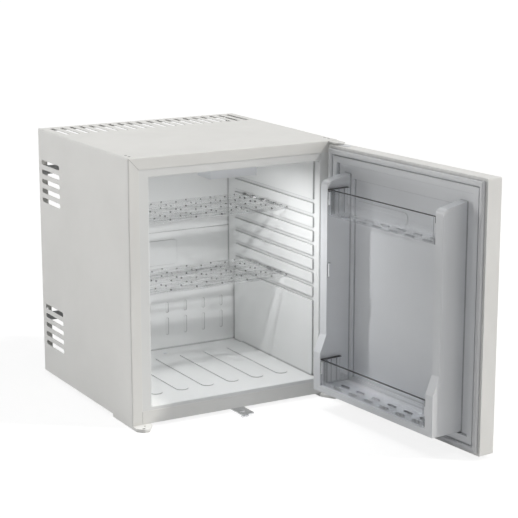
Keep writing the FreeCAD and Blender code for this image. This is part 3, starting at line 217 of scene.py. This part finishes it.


def coated(name, low, high, grain, rough, coat=0.0, metallic=0.0, grain_depth=0.00004,
           edge=0.0007, shade_reach=0.0):
    """Paint or moulded plastic: slight colour and gloss variation, fine grain, soft edges.
    With a shade reach, narrow grooves and inner corners of that size get painted shade, a darker
    colour."""
    material, tree, shader = new_material(name)
    tone = noise(tree, 9.0, detail=4.0)
    color = ramp(tree, tone, low, high)
    # painted shade: grooves and inner corners take a darker copy of the colour
    if shade_reach:
        shaded_color = ramp(tree, tone, *(tuple(PAINTED_SHADE_TONE * c for c in shade) for shade in (low, high)))
        unshaded = painted_corner_shade(tree, shade_reach, FULL_SHADE_AT, NO_SHADE_AT)
        color = blend_colors(tree, unshaded, shaded_color, color)
    tree.links.new(color, shader.inputs["Base Color"])
    gloss = remap(tree, noise(tree, 40.0, detail=5.0), rough * (1 - GLOSS_SPREAD),
                  min(1.0, rough * (1 + GLOSS_SPREAD)))
    tree.links.new(gloss, shader.inputs["Roughness"])
    shader.inputs["Metallic"].default_value = metallic
    shader.inputs["Coat Weight"].default_value = coat
    shader.inputs["Coat Roughness"].default_value = COAT_ROUGH
    normal = bump(tree, noise(tree, grain, detail=2.0), 0.35, grain_depth, soft_edges(tree, edge))
    tree.links.new(normal, shader.inputs["Normal"])
    return material


def brushed(name, low, high, stretch, rough, spread=0.3):
    """Bare metal drawn in one direction."""
    material, tree, shader = new_material(name)
    lines = noise(tree, 300.0, detail=3.0, rough=0.6, stretch=stretch)
    tree.links.new(ramp(tree, lines, low, high), shader.inputs["Base Color"])
    tree.links.new(remap(tree, lines, rough * (1 - spread), rough * (1 + spread)),
                   shader.inputs["Roughness"])
    shader.inputs["Metallic"].default_value = 1.0
    normal = bump(tree, lines, 0.2, 0.00003, soft_edges(tree, 0.0003))
    tree.links.new(normal, shader.inputs["Normal"])
    return material


enamel = coated("white_enamel", (0.80, 0.80, 0.785), (0.83, 0.83, 0.815),
                grain=900.0, rough=0.52, coat=0.04)
enamel_door = coated("white_enamel_door", (0.80, 0.80, 0.79), (0.83, 0.83, 0.82),
                     grain=900.0, rough=0.50, coat=0.04)
# the cabinet's liner, with painted shade in its grooves and corners
formed = coated("formed_liner", (0.79, 0.80, 0.80), (0.81, 0.82, 0.82),
                grain=500.0, rough=0.36, coat=0.05, grain_depth=0.00002, edge=0.00035, shade_reach=0.005)
# the door liner: the cabinet liner's white, painted darker and bluer as shade, with painted shade in
# its grooves and corners
formed_door_shaded = coated("formed_door_liner", (0.735, 0.75, 0.775), (0.755, 0.77, 0.795),
                     grain=500.0, rough=0.36, coat=0.05, grain_depth=0.00002, edge=0.0003,
                     shade_reach=0.0035)
moulded = coated("moulded_white", (0.72, 0.74, 0.77), (0.76, 0.78, 0.81), grain=700.0, rough=0.35)
seal = coated("seal_vinyl", (0.68, 0.69, 0.71), (0.72, 0.73, 0.75),
              grain=1200.0, rough=0.6, edge=0.0008)
foam = coated("rigid_foam", (0.62, 0.50, 0.26), (0.72, 0.60, 0.34),
              grain=260.0, rough=0.9, grain_depth=0.0004)
black_paint = coated("black_paint", (0.018, 0.018, 0.019), (0.03, 0.03, 0.031),
                     grain=600.0, rough=0.5)
galvanised = coated("galvanised", (0.42, 0.43, 0.44), (0.56, 0.57, 0.58),
                    grain=60.0, rough=0.42, metallic=0.8)
coil_metal = coated("coated_coil", (0.34, 0.35, 0.36), (0.42, 0.43, 0.44),
                    grain=400.0, rough=0.4, metallic=0.5)
black_plastic = coated("black_plastic", (0.02, 0.02, 0.021), (0.03, 0.03, 0.032),
                       grain=800.0, rough=0.5)
grey_plastic = coated("grey_plastic", (0.16, 0.16, 0.17), (0.2, 0.2, 0.21), grain=800.0, rough=0.55)
board_green = coated("board", (0.03, 0.12, 0.05), (0.05, 0.17, 0.08), grain=400.0, rough=0.4)
lead_black = coated("lead_sleeve", (0.015, 0.015, 0.015), (0.03, 0.03, 0.03),
                    grain=900.0, rough=0.6)
# painted shade: the dark and the grey that edges and holes of clear plastic show by refraction, and the
# dark of the gap under the lower rack's slots
painted_dark_edge = coated("painted_shade_clear_edge", (0.012, 0.012, 0.013), (0.03, 0.03, 0.032),
                   grain=500.0, rough=0.55)
painted_grey_edge = coated("painted_grey_shade_edge", (0.30, 0.31, 0.33), (0.40, 0.41, 0.43), grain=500.0, rough=0.4)
seam_grey = coated("seam_shadow", (0.30, 0.30, 0.30), (0.36, 0.36, 0.36), grain=500.0, rough=0.8)
steel = brushed("zinc_steel", (0.42, 0.42, 0.43), (0.62, 0.62, 0.64), (1.0, 1.0, 8.0), rough=0.35)
chrome = brushed("chrome", (0.62, 0.63, 0.64), (0.78, 0.78, 0.79), (6.0, 1.0, 1.0), rough=0.12)
aluminium = brushed("aluminium", (0.66, 0.67, 0.68), (0.78, 0.78, 0.79), (1.0, 8.0, 1.0), rough=0.3)
dark_screw = brushed("dark_screw", (0.12, 0.12, 0.12), (0.22, 0.22, 0.22), (2.0, 2.0, 2.0),
                     rough=0.45)


# Clear materials
def clear(name, rough, ior):
    """Clear plastic without its colour; returns the material, its node tree and its main shader."""
    material, tree, shader = new_material(name)
    shader.inputs["Transmission Weight"].default_value = 1.0
    shader.inputs["IOR"].default_value = ior
    shader.inputs["Roughness"].default_value = rough
    return material, tree, shader


def tray(name, node, floor_shade_density):
    """Clear plastic of a door rack: denser where the surface is seen at a glancing angle,
    and in the rack's floor, whose tint is painted darker as shade of the dim space under it. It stops
    little of the light that passes."""
    material, tree, shader = clear(name, rough=0.02, ior=1.25)
    glance = tree.nodes.new("ShaderNodeLayerWeight")
    glance.inputs["Blend"].default_value = 0.4
    floor_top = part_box(node)[0][2] + RACK_WALL
    low = remap(tree, axis_value(tree, "Z"), 1.0, 0.0, floor_top + 0.0004, floor_top + 0.0012)
    floor_part = remap(tree, low, 0.0, floor_shade_density, 0.0, 1.0)
    walls = remap(tree, glance.outputs["Facing"], 0.04, 0.34, 0.0, 1.0)
    density = combine(tree, "MAXIMUM", floor_part, walls)
    tone = noise(tree, 14.0)
    in_shadow = remap(tree, tone, 0.04, 0.12)
    tree.links.new(for_shadows(tree, density, in_shadow), shader.inputs["Alpha"])
    wall_color = ramp(tree, tone, (0.93, 0.95, 0.97), (0.96, 0.98, 1.0))
    # painted shade: the rack's floor is tinted dark grey-blue
    floor_shade_color = ramp(tree, tone, (0.58, 0.61, 0.66), (0.62, 0.65, 0.70))
    tree.links.new(blend_colors(tree, low, wall_color, floor_shade_color), shader.inputs["Base Color"])
    return material


def waved_sheet(name):
    """Clear plastic of the shelves: fine waves that run from side to side, with painted shade along
    them, and painted dark shade marks at the right edge. In bands along the waves it also breaks up the
    light that passes, in streaks."""
    material, tree, shader = clear(name, rough=0.03, ior=1.45)
    waves = noise(tree, 1.0, detail=4.0, rough=0.55, stretch=(24.0, 260.0, 24.0))
    bands = noise(tree, 1.0, detail=2.0, stretch=(6.0, 70.0, 6.0))
    # painted shade marks near the right edge
    edge = remap(tree, axis_value(tree, "X"), 0.0, 1.0, 0.151, 0.158)
    spots = noise(tree, 1.0, detail=2.0, stretch=(8.0, 55.0, 8.0))
    marks = combine(tree, "MULTIPLY", edge, remap(tree, spots, 0.0, 1.0, 0.54, 0.60))
    density = combine(tree, "ADD", remap(tree, waves, 0.05, 0.48, 0.46, 0.60),
                      remap(tree, bands, 0.0, 0.25, 0.46, 0.58))
    density = combine(tree, "MAXIMUM", density, marks)
    sides = tree.nodes.new("ShaderNodeNewGeometry")
    streaks = noise(tree, 1.0, detail=2.0, stretch=(4.0, 110.0, 4.0))
    rays = combine(tree, "MULTIPLY", sides.outputs["Backfacing"],
                   remap(tree, streaks, 0.0, 0.85, 0.46, 0.56))
    tree.links.new(for_shadows(tree, density, rays), shader.inputs["Alpha"])
    # painted shade: the tint goes dark grey along the waves, for the dark lines of their refraction,
    # and near black in the edge marks
    wave_shade_color = ramp(tree, waves, (0.36, 0.37, 0.38), (1.0, 1.0, 1.0), 0.44, 0.57)
    edge_shade_color = ramp(tree, waves, (0.02, 0.02, 0.02), (0.05, 0.05, 0.05))
    tree.links.new(blend_colors(tree, marks, wave_shade_color, edge_shade_color), shader.inputs["Base Color"])
    tree.links.new(bump(tree, waves, 0.5, 0.0006), shader.inputs["Normal"])
    return material


def lit_lens(name):
    """The lamp's milky lens, which glows."""
    material, tree, shader = new_material(name)
    shader.inputs["Roughness"].default_value = 0.5
    tone = ramp(tree, noise(tree, 60.0), (0.86, 0.88, 0.9), (0.93, 0.94, 0.95))
    tree.links.new(tone, shader.inputs["Base Color"])
    shader.inputs["Emission Color"].default_value = (0.95, 0.98, 1.0, 1.0)
    shader.inputs["Emission Strength"].default_value = 0.75
    return material


clear_rack_upper = tray("clear_rack_upper", "door_rack_upper", floor_shade_density=0.15)
clear_rack_lower = tray("clear_rack_lower", "door_rack_lower", floor_shade_density=0.35)
clear_shelf = waved_sheet("clear_shelf")
lens_material = lit_lens("lamp_lens")

finishes = {
    "cabinet_shell": enamel, "base_pan": enamel, "rear_panel": enamel, "hinge_plate": enamel,
    "foot_bracket_left": enamel, "foot_bracket_right": enamel, "door_skin": enamel_door,
    "inner_liner": formed, "door_liner": formed_door_shaded, "lamp_housing": moulded,
    "lamp_lens": lens_material, "lamp_board": board_green, "control_board": board_green,
    "cabinet_foam": foam, "door_foam": foam, "door_gasket": seal, "gasket_magnet": black_plastic,
    "hinge_pin_upper": steel, "hinge_pin_lower": steel, "bracket_screws": steel,
    "tongue_screws": steel, "strap_screws": steel, "hinge_screws": dark_screw,
    "top_plugs": dark_screw, "catch_tongue": chrome, "lock_cylinder": chrome, "lock_cam": steel,
    "door_bush_upper": moulded, "door_bush_lower": moulded, "rear_feet": black_plastic,
    "control_box": black_plastic, "power_inlet": black_plastic, "heater_lead": lead_black,
    "thermostat_probe": steel, "drain_tube": moulded, "drip_tray": grey_plastic,
    "riser_tube": black_paint, "condenser_fins": black_paint, "boiler_casing": galvanised,
    "heater_cartridge": steel, "evaporator_plate": aluminium, "evaporator_coil": coil_metal,
    "absorber_vessel": black_paint, "absorber_coil": black_paint, "evaporator_pipes": black_paint,
    "return_pipe": black_paint, "unit_straps": galvanised, "unit_clamps": black_plastic,
    "door_rack_upper": clear_rack_upper, "door_rack_lower": clear_rack_lower,
    "shelf_upper": clear_shelf, "shelf_lower": clear_shelf,
}
for name, material in finishes.items():
    node_mesh = nodes[name].data
    node_mesh.materials.clear()
    node_mesh.materials.append(material)


# Detail pieces. What rides on the door is given for the shut door and turned open.
def turned(x, y, z):
    """A point of the shut door, where it is with the door open."""
    dx, dy = x - HINGE_X, y - HINGE_Y
    return (HINGE_X + dx * math.cos(OPEN) - dy * math.sin(OPEN),
            HINGE_Y + dx * math.sin(OPEN) + dy * math.cos(OPEN), z)


def piece(name, points, faces, material, body):
    """A flat-shaded mesh object that rides on a body."""
    mesh = bpy.data.meshes.new(name)
    mesh.from_pydata(points, [], faces)
    work = bmesh.new()
    work.from_mesh(mesh)
    bmesh.ops.recalc_face_normals(work, faces=work.faces)
    work.to_mesh(mesh)
    work.free()
    for face in mesh.polygons:
        face.use_smooth = False
    obj = bpy.data.objects.new(name, mesh)
    scene.collection.objects.link(obj)
    mesh.materials.append(material)
    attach(obj, body)
    return obj


def sleeves(name, outlines, z0, z1, material, body, move=None, closed=False):
    """Inner walls of a set of holes, closed at z0 or open; an outline is a closed list of (x, y)."""
    points, faces = [], []
    for outline in outlines:
        start = len(points)
        count = len(outline)
        for z in (z0, z1):
            points += [move(x, y, z) if move else (x, y, z) for x, y in outline]
        for n in range(count):
            m = (n + 1) % count
            faces.append((start + n, start + m, start + count + m, start + count + n))
        if closed:
            faces.append(tuple(range(start, start + count)))
    return piece(name, points, faces, material, body)


BLOCK_FACES = ((0, 3, 2, 1), (4, 5, 6, 7), (0, 1, 5, 4), (1, 2, 6, 5), (2, 3, 7, 6), (3, 0, 4, 7))


def blocks(name, spans, material, body, move=None):
    """Thin straight strips, each given by its lowest and highest corner."""
    points, faces = [], []
    for (x0, y0, z0), (x1, y1, z1) in spans:
        start = len(points)
        corners = [(x, y, z) for z in (z0, z1) for x, y in ((x0, y0), (x1, y0), (x1, y1), (x0, y1))]
        points += [move(*corner) if move else corner for corner in corners]
        faces += [tuple(start + n for n in face) for face in BLOCK_FACES]
    return piece(name, points, faces, material, body)


def circle(x, y, radius, count=12):
    """Corner points of a round outline."""
    return [(x + radius * math.cos(2 * math.pi * n / count),
             y + radius * math.sin(2 * math.pi * n / count)) for n in range(count)]


def pill(x, y, length, width, count=6):
    """Corner points of a slot outline with round ends, long along X."""
    radius = width / 2
    reach = length / 2 - radius
    right = [(x + reach + radius * math.sin(math.pi * n / count),
              y - radius * math.cos(math.pi * n / count)) for n in range(count + 1)]
    left = [(x - reach - radius * math.sin(math.pi * n / count),
             y + radius * math.cos(math.pi * n / count)) for n in range(count + 1)]
    return right + left


# Shelves: painted dark shade on the rims of the holes, which stand in three staggered sets of rows, and
# painted shade marks on the right edge
HOLE = 0.0015                   # radius
HOLE_SETS = ((0.0051, 0.0316), (0.0251, 0.0113), (0.0351, 0.0367))      # setback and side place
HOLE_PITCH, ROW_PITCH = 0.0504, 0.0388
HOLE_MARGIN = 0.004             # from the shelf's edges
RIM_DEEP = 0.0023
EDGE_SHADE_WIDE, EDGE_SHADE_DEEP = 0.0012, 0.0007
EDGE_DASHES = ((-0.0812, -0.0770), (-0.0620, -0.0560), (-0.0400, -0.0330), (-0.0160, -0.0100))


def shelf_details(name, body):
    """Painted dark shade on the rims of a shelf's holes, and painted shade marks on its right edge."""
    low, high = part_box(name)
    reach = high[0] - HOLE_MARGIN
    depth = high[1] - low[1] - HOLE_MARGIN
    rims = []
    for setback, first_x in HOLE_SETS:
        first = math.ceil((-reach - first_x) / HOLE_PITCH)
        last = math.floor((reach - first_x) / HOLE_PITCH)
        for row in range(int((depth - setback) / ROW_PITCH) + 1):
            y = low[1] + setback + row * ROW_PITCH
            rims += [circle(first_x + n * HOLE_PITCH, y, HOLE - SKIN) for n in range(first, last + 1)]
    sleeves(name + "_hole_rims", rims, high[2] - RIM_DEEP, high[2] - SKIN, painted_dark_edge, body)
    # painted shade: dark dashes along the right edge, where the shelf sits in its groove
    dashes = [((high[0] - EDGE_SHADE_WIDE, y0, high[2] - EDGE_SHADE_DEEP), (high[0], y1, high[2] + SKIN))
              for y0, y1 in EDGE_DASHES]
    blocks(name + "_edge_shade_marks", dashes, painted_dark_edge, body)


shelf_details("shelf_upper", "shelf_up")
shelf_details("shelf_lower", "shelf_low")


# Door racks: painted shade on the rims of the floor's slots, and painted dark shade on the edges of the
# walls
SLOT_LONG, SLOT_WIDE = 0.022, 0.005
SLOT_FIRST, SLOT_PITCH, SLOTS = -0.10775, 0.0417, 6
SLOT_ROWS = (0.0075, 0.0240)    # behind the rack's face
RACK_LEFT, RACK_RIGHT = -0.1356, 0.1406
RACK_END, RACK_DEEP = 0.0060, 0.041
RACK_GAP = 0.0004               # from the rack's face to the dykes' faces
UPPER_DYKE, LOWER_DYKE = 0.0474, 0.0599         # faces of the dykes, from the shut door's back
EDGE_WIDE = 0.0012
FRONT_EDGE, END_EDGE = 0.0014, 0.0008           # heights of the dark edges along the top
CORNER_DROP, CORNER_RISE = 0.0110, 0.0090       # dark stretches of the free corner, from its ends
LINE_PLACE = 0.0042             # of the grey line on the face, from the free corner
END_BANDS = ((0.0030, 0.0020), (0.0080, 0.0030), (0.0180, 0.0015), (0.0290, 0.0025))


def rack_details(name, dyke, rim, closed):
    """Painted shade on the rims of a rack's slots, painted dark shade strips on its edges and painted
    grey shade bands in its hinge-side wall.
    """
    low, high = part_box("door_" + name)
    floor_z, top = low[2], high[2]
    face = DOOR_BACK + dyke - RACK_GAP
    slots = [pill(SLOT_FIRST + SLOT_PITCH * n, face - row, SLOT_LONG - 2 * SKIN, SLOT_WIDE - 2 * SKIN)
             for row in SLOT_ROWS for n in range(SLOTS)]
    sleeves(name + "_slot_rims", slots, floor_z + SKIN, floor_z + RACK_WALL - SKIN, rim, name,
            turned, closed)
    hinge_wall = RACK_RIGHT - RACK_END
    free_corner = ((RACK_LEFT - SKIN, face - EDGE_WIDE), (RACK_LEFT + EDGE_WIDE, face + SKIN))
    # painted dark shade along the top edges and at the free corner, where the clear walls look dark
    dark = [((RACK_LEFT, face - RACK_WALL - SKIN, top - FRONT_EDGE),
             (RACK_RIGHT, face + SKIN, top + SKIN)),
            ((hinge_wall, face - RACK_DEEP, top - END_EDGE), (RACK_RIGHT, face, top + SKIN))]
    for z0, z1 in ((top - CORNER_DROP, top), (floor_z, floor_z + CORNER_RISE)):
        dark.append(((*free_corner[0], z0), (*free_corner[1], z1)))
    blocks(name + "_dark_edges", dark, painted_dark_edge, name, turned)
    # painted grey shade: bands in the hinge-side wall and a line on the face
    grey = [((hinge_wall - SKIN, face - start - width, floor_z + RACK_WALL),
             (hinge_wall + SKIN, face - start, top)) for start, width in END_BANDS]
    line = RACK_LEFT + LINE_PLACE
    grey.append(((line, face, floor_z), (line + EDGE_WIDE, face + SKIN, top)))
    blocks(name + "_grey_shade_bands", grey, painted_grey_edge, name, turned)


rack_details("rack_upper", UPPER_DYKE, painted_grey_edge, closed=False)
# the lower rack's slots are closed by dark faces: painted shade of the dim gap under its floor
rack_details("rack_lower", LOWER_DYKE, painted_dark_edge, closed=True)

# Fine ribs on the lower rack's front wall, along its foot
RIB_PITCH, RIB_WIDE, RIB_HIGH, RIBS = 0.0034, 0.0012, 0.0075, 78
rib_y = DOOR_BACK + LOWER_DYKE - RACK_GAP
rib_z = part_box("door_rack_lower")[0][2]
rib_places = [RACK_LEFT + RACK_END + n * RIB_PITCH for n in range(RIBS)]
ribs = [((x, rib_y, rib_z), (x + RIB_WIDE, rib_y + SKIN, rib_z + RIB_HIGH)) for x in rib_places]
blocks("rack_lower_ribs", ribs, moulded, "rack_lower", turned)


# The seal: an upright outer wall, a bead and a low inner lip, mitred at the corners
SEAL_SECTION = ((0.0050, 0.0002), (0.0050, 0.0050), (0.0056, 0.0058), (0.0072, 0.0064),
                (0.0098, 0.0066), (0.0118, 0.0061), (0.0129, 0.0048), (0.0135, 0.0041),
                (0.0135, 0.0002))       # inset from the door's edge, height over its back
seal_points, seal_faces = [], []
for inset, height in SEAL_SECTION:
    x, y = HALF - inset, DOOR_BACK + height
    z0, z1 = door_low[2] + inset, door_high[2] - inset
    seal_points += [turned(*corner) for corner in ((-x, y, z0), (x, y, z0), (x, y, z1), (-x, y, z1))]
for n in range(len(SEAL_SECTION)):
    m = (n + 1) % len(SEAL_SECTION)
    for k in range(4):
        j = (k + 1) % 4
        seal_faces.append((4 * n + k, 4 * n + j, 4 * m + j, 4 * m + k))
seal_obj = piece("door_seal", seal_points, seal_faces, seal, "door")
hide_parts("door_gasket")


# Mitre seams in the front flange's upper corners and butt seams of the front rail
SEAM_WIDE, SEAM_DEEP = 0.0005, 0.00006
FLANGE_SIDE, FLANGE_TOP = 0.0188, 0.0203        # from the cabinet's edges to the inner corner
SEAM_INSET = 0.0015                             # from the cabinet's edges to the seam's outer end
RAIL_END = 0.019
RAIL_FOOT, RAIL_HEAD = 0.0007, 0.0003           # from the rail's edges to the seam's ends


def seam(name, a, b):
    """A hair-thin dark line on the cabinet's front, from a to b."""
    (ax, az), (bx, bz) = a, b
    length = math.hypot(bx - ax, bz - az)
    sx, sz = (bz - az) / length * SEAM_WIDE / 2, -(bx - ax) / length * SEAM_WIDE / 2
    corners = [(ax + sx, az + sz), (ax - sx, az - sz), (bx - sx, bz - sz), (bx + sx, bz + sz)]
    points = [(x, y, z) for y in (FRONT - SEAM_DEEP, FRONT) for x, z in corners]
    faces = [(0, 1, 2, 3), (7, 6, 5, 4), (0, 4, 5, 1), (1, 5, 6, 2), (2, 6, 7, 3), (3, 7, 4, 0)]
    return piece(name, points, faces, seam_grey, "cabinet")


for side, word in ((-1, "left"), (1, "right")):
    seam("mitre_seam_" + word, (side * (HALF - FLANGE_SIDE), TOP - FLANGE_TOP),
         (side * (HALF - SEAM_INSET), TOP - SEAM_INSET))
    rail_x = side * (HALF - RAIL_END)
    seam("rail_seam_" + word, (rail_x, rail_low[2] + RAIL_FOOT), (rail_x, rail_high[2] - RAIL_HEAD))


# Surround: white to the eye, and only a faint light on the object
SURROUND_LIGHT = 0.05
world = bpy.data.worlds.new("room")
scene.world = world
world.use_nodes = True
room = world.node_tree
room.nodes.clear()
room_out = room.nodes.new("ShaderNodeOutputWorld")
room_mix = room.nodes.new("ShaderNodeMixShader")
shown = room.nodes.new("ShaderNodeBackground")
shown.inputs["Color"].default_value = (1.0, 1.0, 1.0, 1.0)
shown.inputs["Strength"].default_value = 1.0
lit = room.nodes.new("ShaderNodeBackground")
lit.inputs["Color"].default_value = (0.96, 0.98, 1.0, 1.0)
lit.inputs["Strength"].default_value = SURROUND_LIGHT
room.links.new(seen_directly(room), room_mix.inputs["Fac"])
room.links.new(lit.outputs["Background"], room_mix.inputs[1])
room.links.new(shown.outputs["Background"], room_mix.inputs[2])
room.links.new(room_mix.outputs["Shader"], room_out.inputs["Surface"])

# Lamps: a small sun from the right, soft light from above, behind, the front and the right
NEUTRAL = (1.0, 0.99, 0.97)
SUNS = (                        # name, where from, strength, angle in degrees, colour
    ("sun_key", (0.56, -0.425, 0.711), 1.35, 2.5, (1.0, 0.965, 0.90)),
    ("soft_top", (0.0, 0.0, 1.0), 1.0, 60.0, (0.98, 0.99, 1.0)),
    ("soft_back", (-0.57, 0.8, 0.12), 1.75, 30.0, NEUTRAL),
    ("soft_front", (0.1, -0.9, 0.3), 0.17, 60.0, NEUTRAL),
    ("soft_low", (0.3, -0.9, 0.1), 0.2, 20.0, NEUTRAL),
    ("soft_right", (0.75, -0.62, 0.15), 0.45, 30.0, NEUTRAL),
)
LAMP_POWER, LAMP_GAP = 0.65, 0.0007
LAMP_WIDE, LAMP_DEEP = 0.006, 0.013


def lamp(name, kind, energy, color, towards):
    """A lamp that shines from a direction; returns its object and its data."""
    data = bpy.data.lights.new(name, kind)
    data.energy = energy
    data.color = color
    obj = bpy.data.objects.new(name, data)
    obj.rotation_mode = "QUATERNION"
    obj.rotation_quaternion = Vector(towards).to_track_quat("Z", "Y")
    scene.collection.objects.link(obj)
    return obj, data


for name, towards, energy, angle, color in SUNS:
    sun_data = lamp(name, "SUN", energy, color, towards)[1]
    sun_data.angle = math.radians(angle)

# The inner lamp shines down from just under its lens
lens_low, lens_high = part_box("lamp_lens")
inner, inner_data = lamp("inner_lamp", "AREA", LAMP_POWER, (1.0, 1.0, 1.0), (0.0, 0.0, 1.0))
inner_data.shape = "RECTANGLE"
inner_data.size = LAMP_WIDE
inner_data.size_y = LAMP_DEEP
inner.location = (0.0, (lens_low[1] + lens_high[1]) / 2, lens_low[2] - LAMP_GAP)


# Floor: white to the eye where it is lit, a little darker in the object's shadow
REACH = 30.0
FLOOR_GLOW, FLOOR_MATT = 0.84, 0.26
floor_mesh = bpy.data.meshes.new("floor")
floor_corners = [(-REACH, -REACH, 0.0), (REACH, -REACH, 0.0), (REACH, REACH, 0.0), (-REACH, REACH, 0.0)]
floor_mesh.from_pydata(floor_corners, [], [(0, 1, 2, 3)])
floor = bpy.data.objects.new("floor", floor_mesh)
scene.collection.objects.link(floor)
floor_material, floor_tree, floor_shader = new_material("floor")
floor_shader.inputs["Roughness"].default_value = 0.9
floor_tone = ramp(floor_tree, noise(floor_tree, 3.0), (0.76, 0.76, 0.76), (0.78, 0.78, 0.78))
floor_tree.links.new(floor_tone, floor_shader.inputs["Base Color"])
glow = floor_tree.nodes.new("ShaderNodeEmission")
glow.inputs["Color"].default_value = (1.0, 1.0, 1.0, 1.0)
glow.inputs["Strength"].default_value = FLOOR_GLOW
matt = floor_tree.nodes.new("ShaderNodeBsdfDiffuse")
matt.inputs["Color"].default_value = (FLOOR_MATT, FLOOR_MATT, FLOOR_MATT, 1.0)
both = floor_tree.nodes.new("ShaderNodeAddShader")
floor_tree.links.new(glow.outputs["Emission"], both.inputs[0])
floor_tree.links.new(matt.outputs["BSDF"], both.inputs[1])
floor_mix = floor_tree.nodes.new("ShaderNodeMixShader")
floor_tree.links.new(seen_directly(floor_tree), floor_mix.inputs["Fac"])
floor_tree.links.new(floor_shader.outputs["BSDF"], floor_mix.inputs[1])
floor_tree.links.new(both.outputs["Shader"], floor_mix.inputs[2])
floor_tree.links.new(floor_mix.outputs["Shader"], floor_tree.nodes["Material Output"].inputs["Surface"])
floor_mesh.materials.append(floor_material)
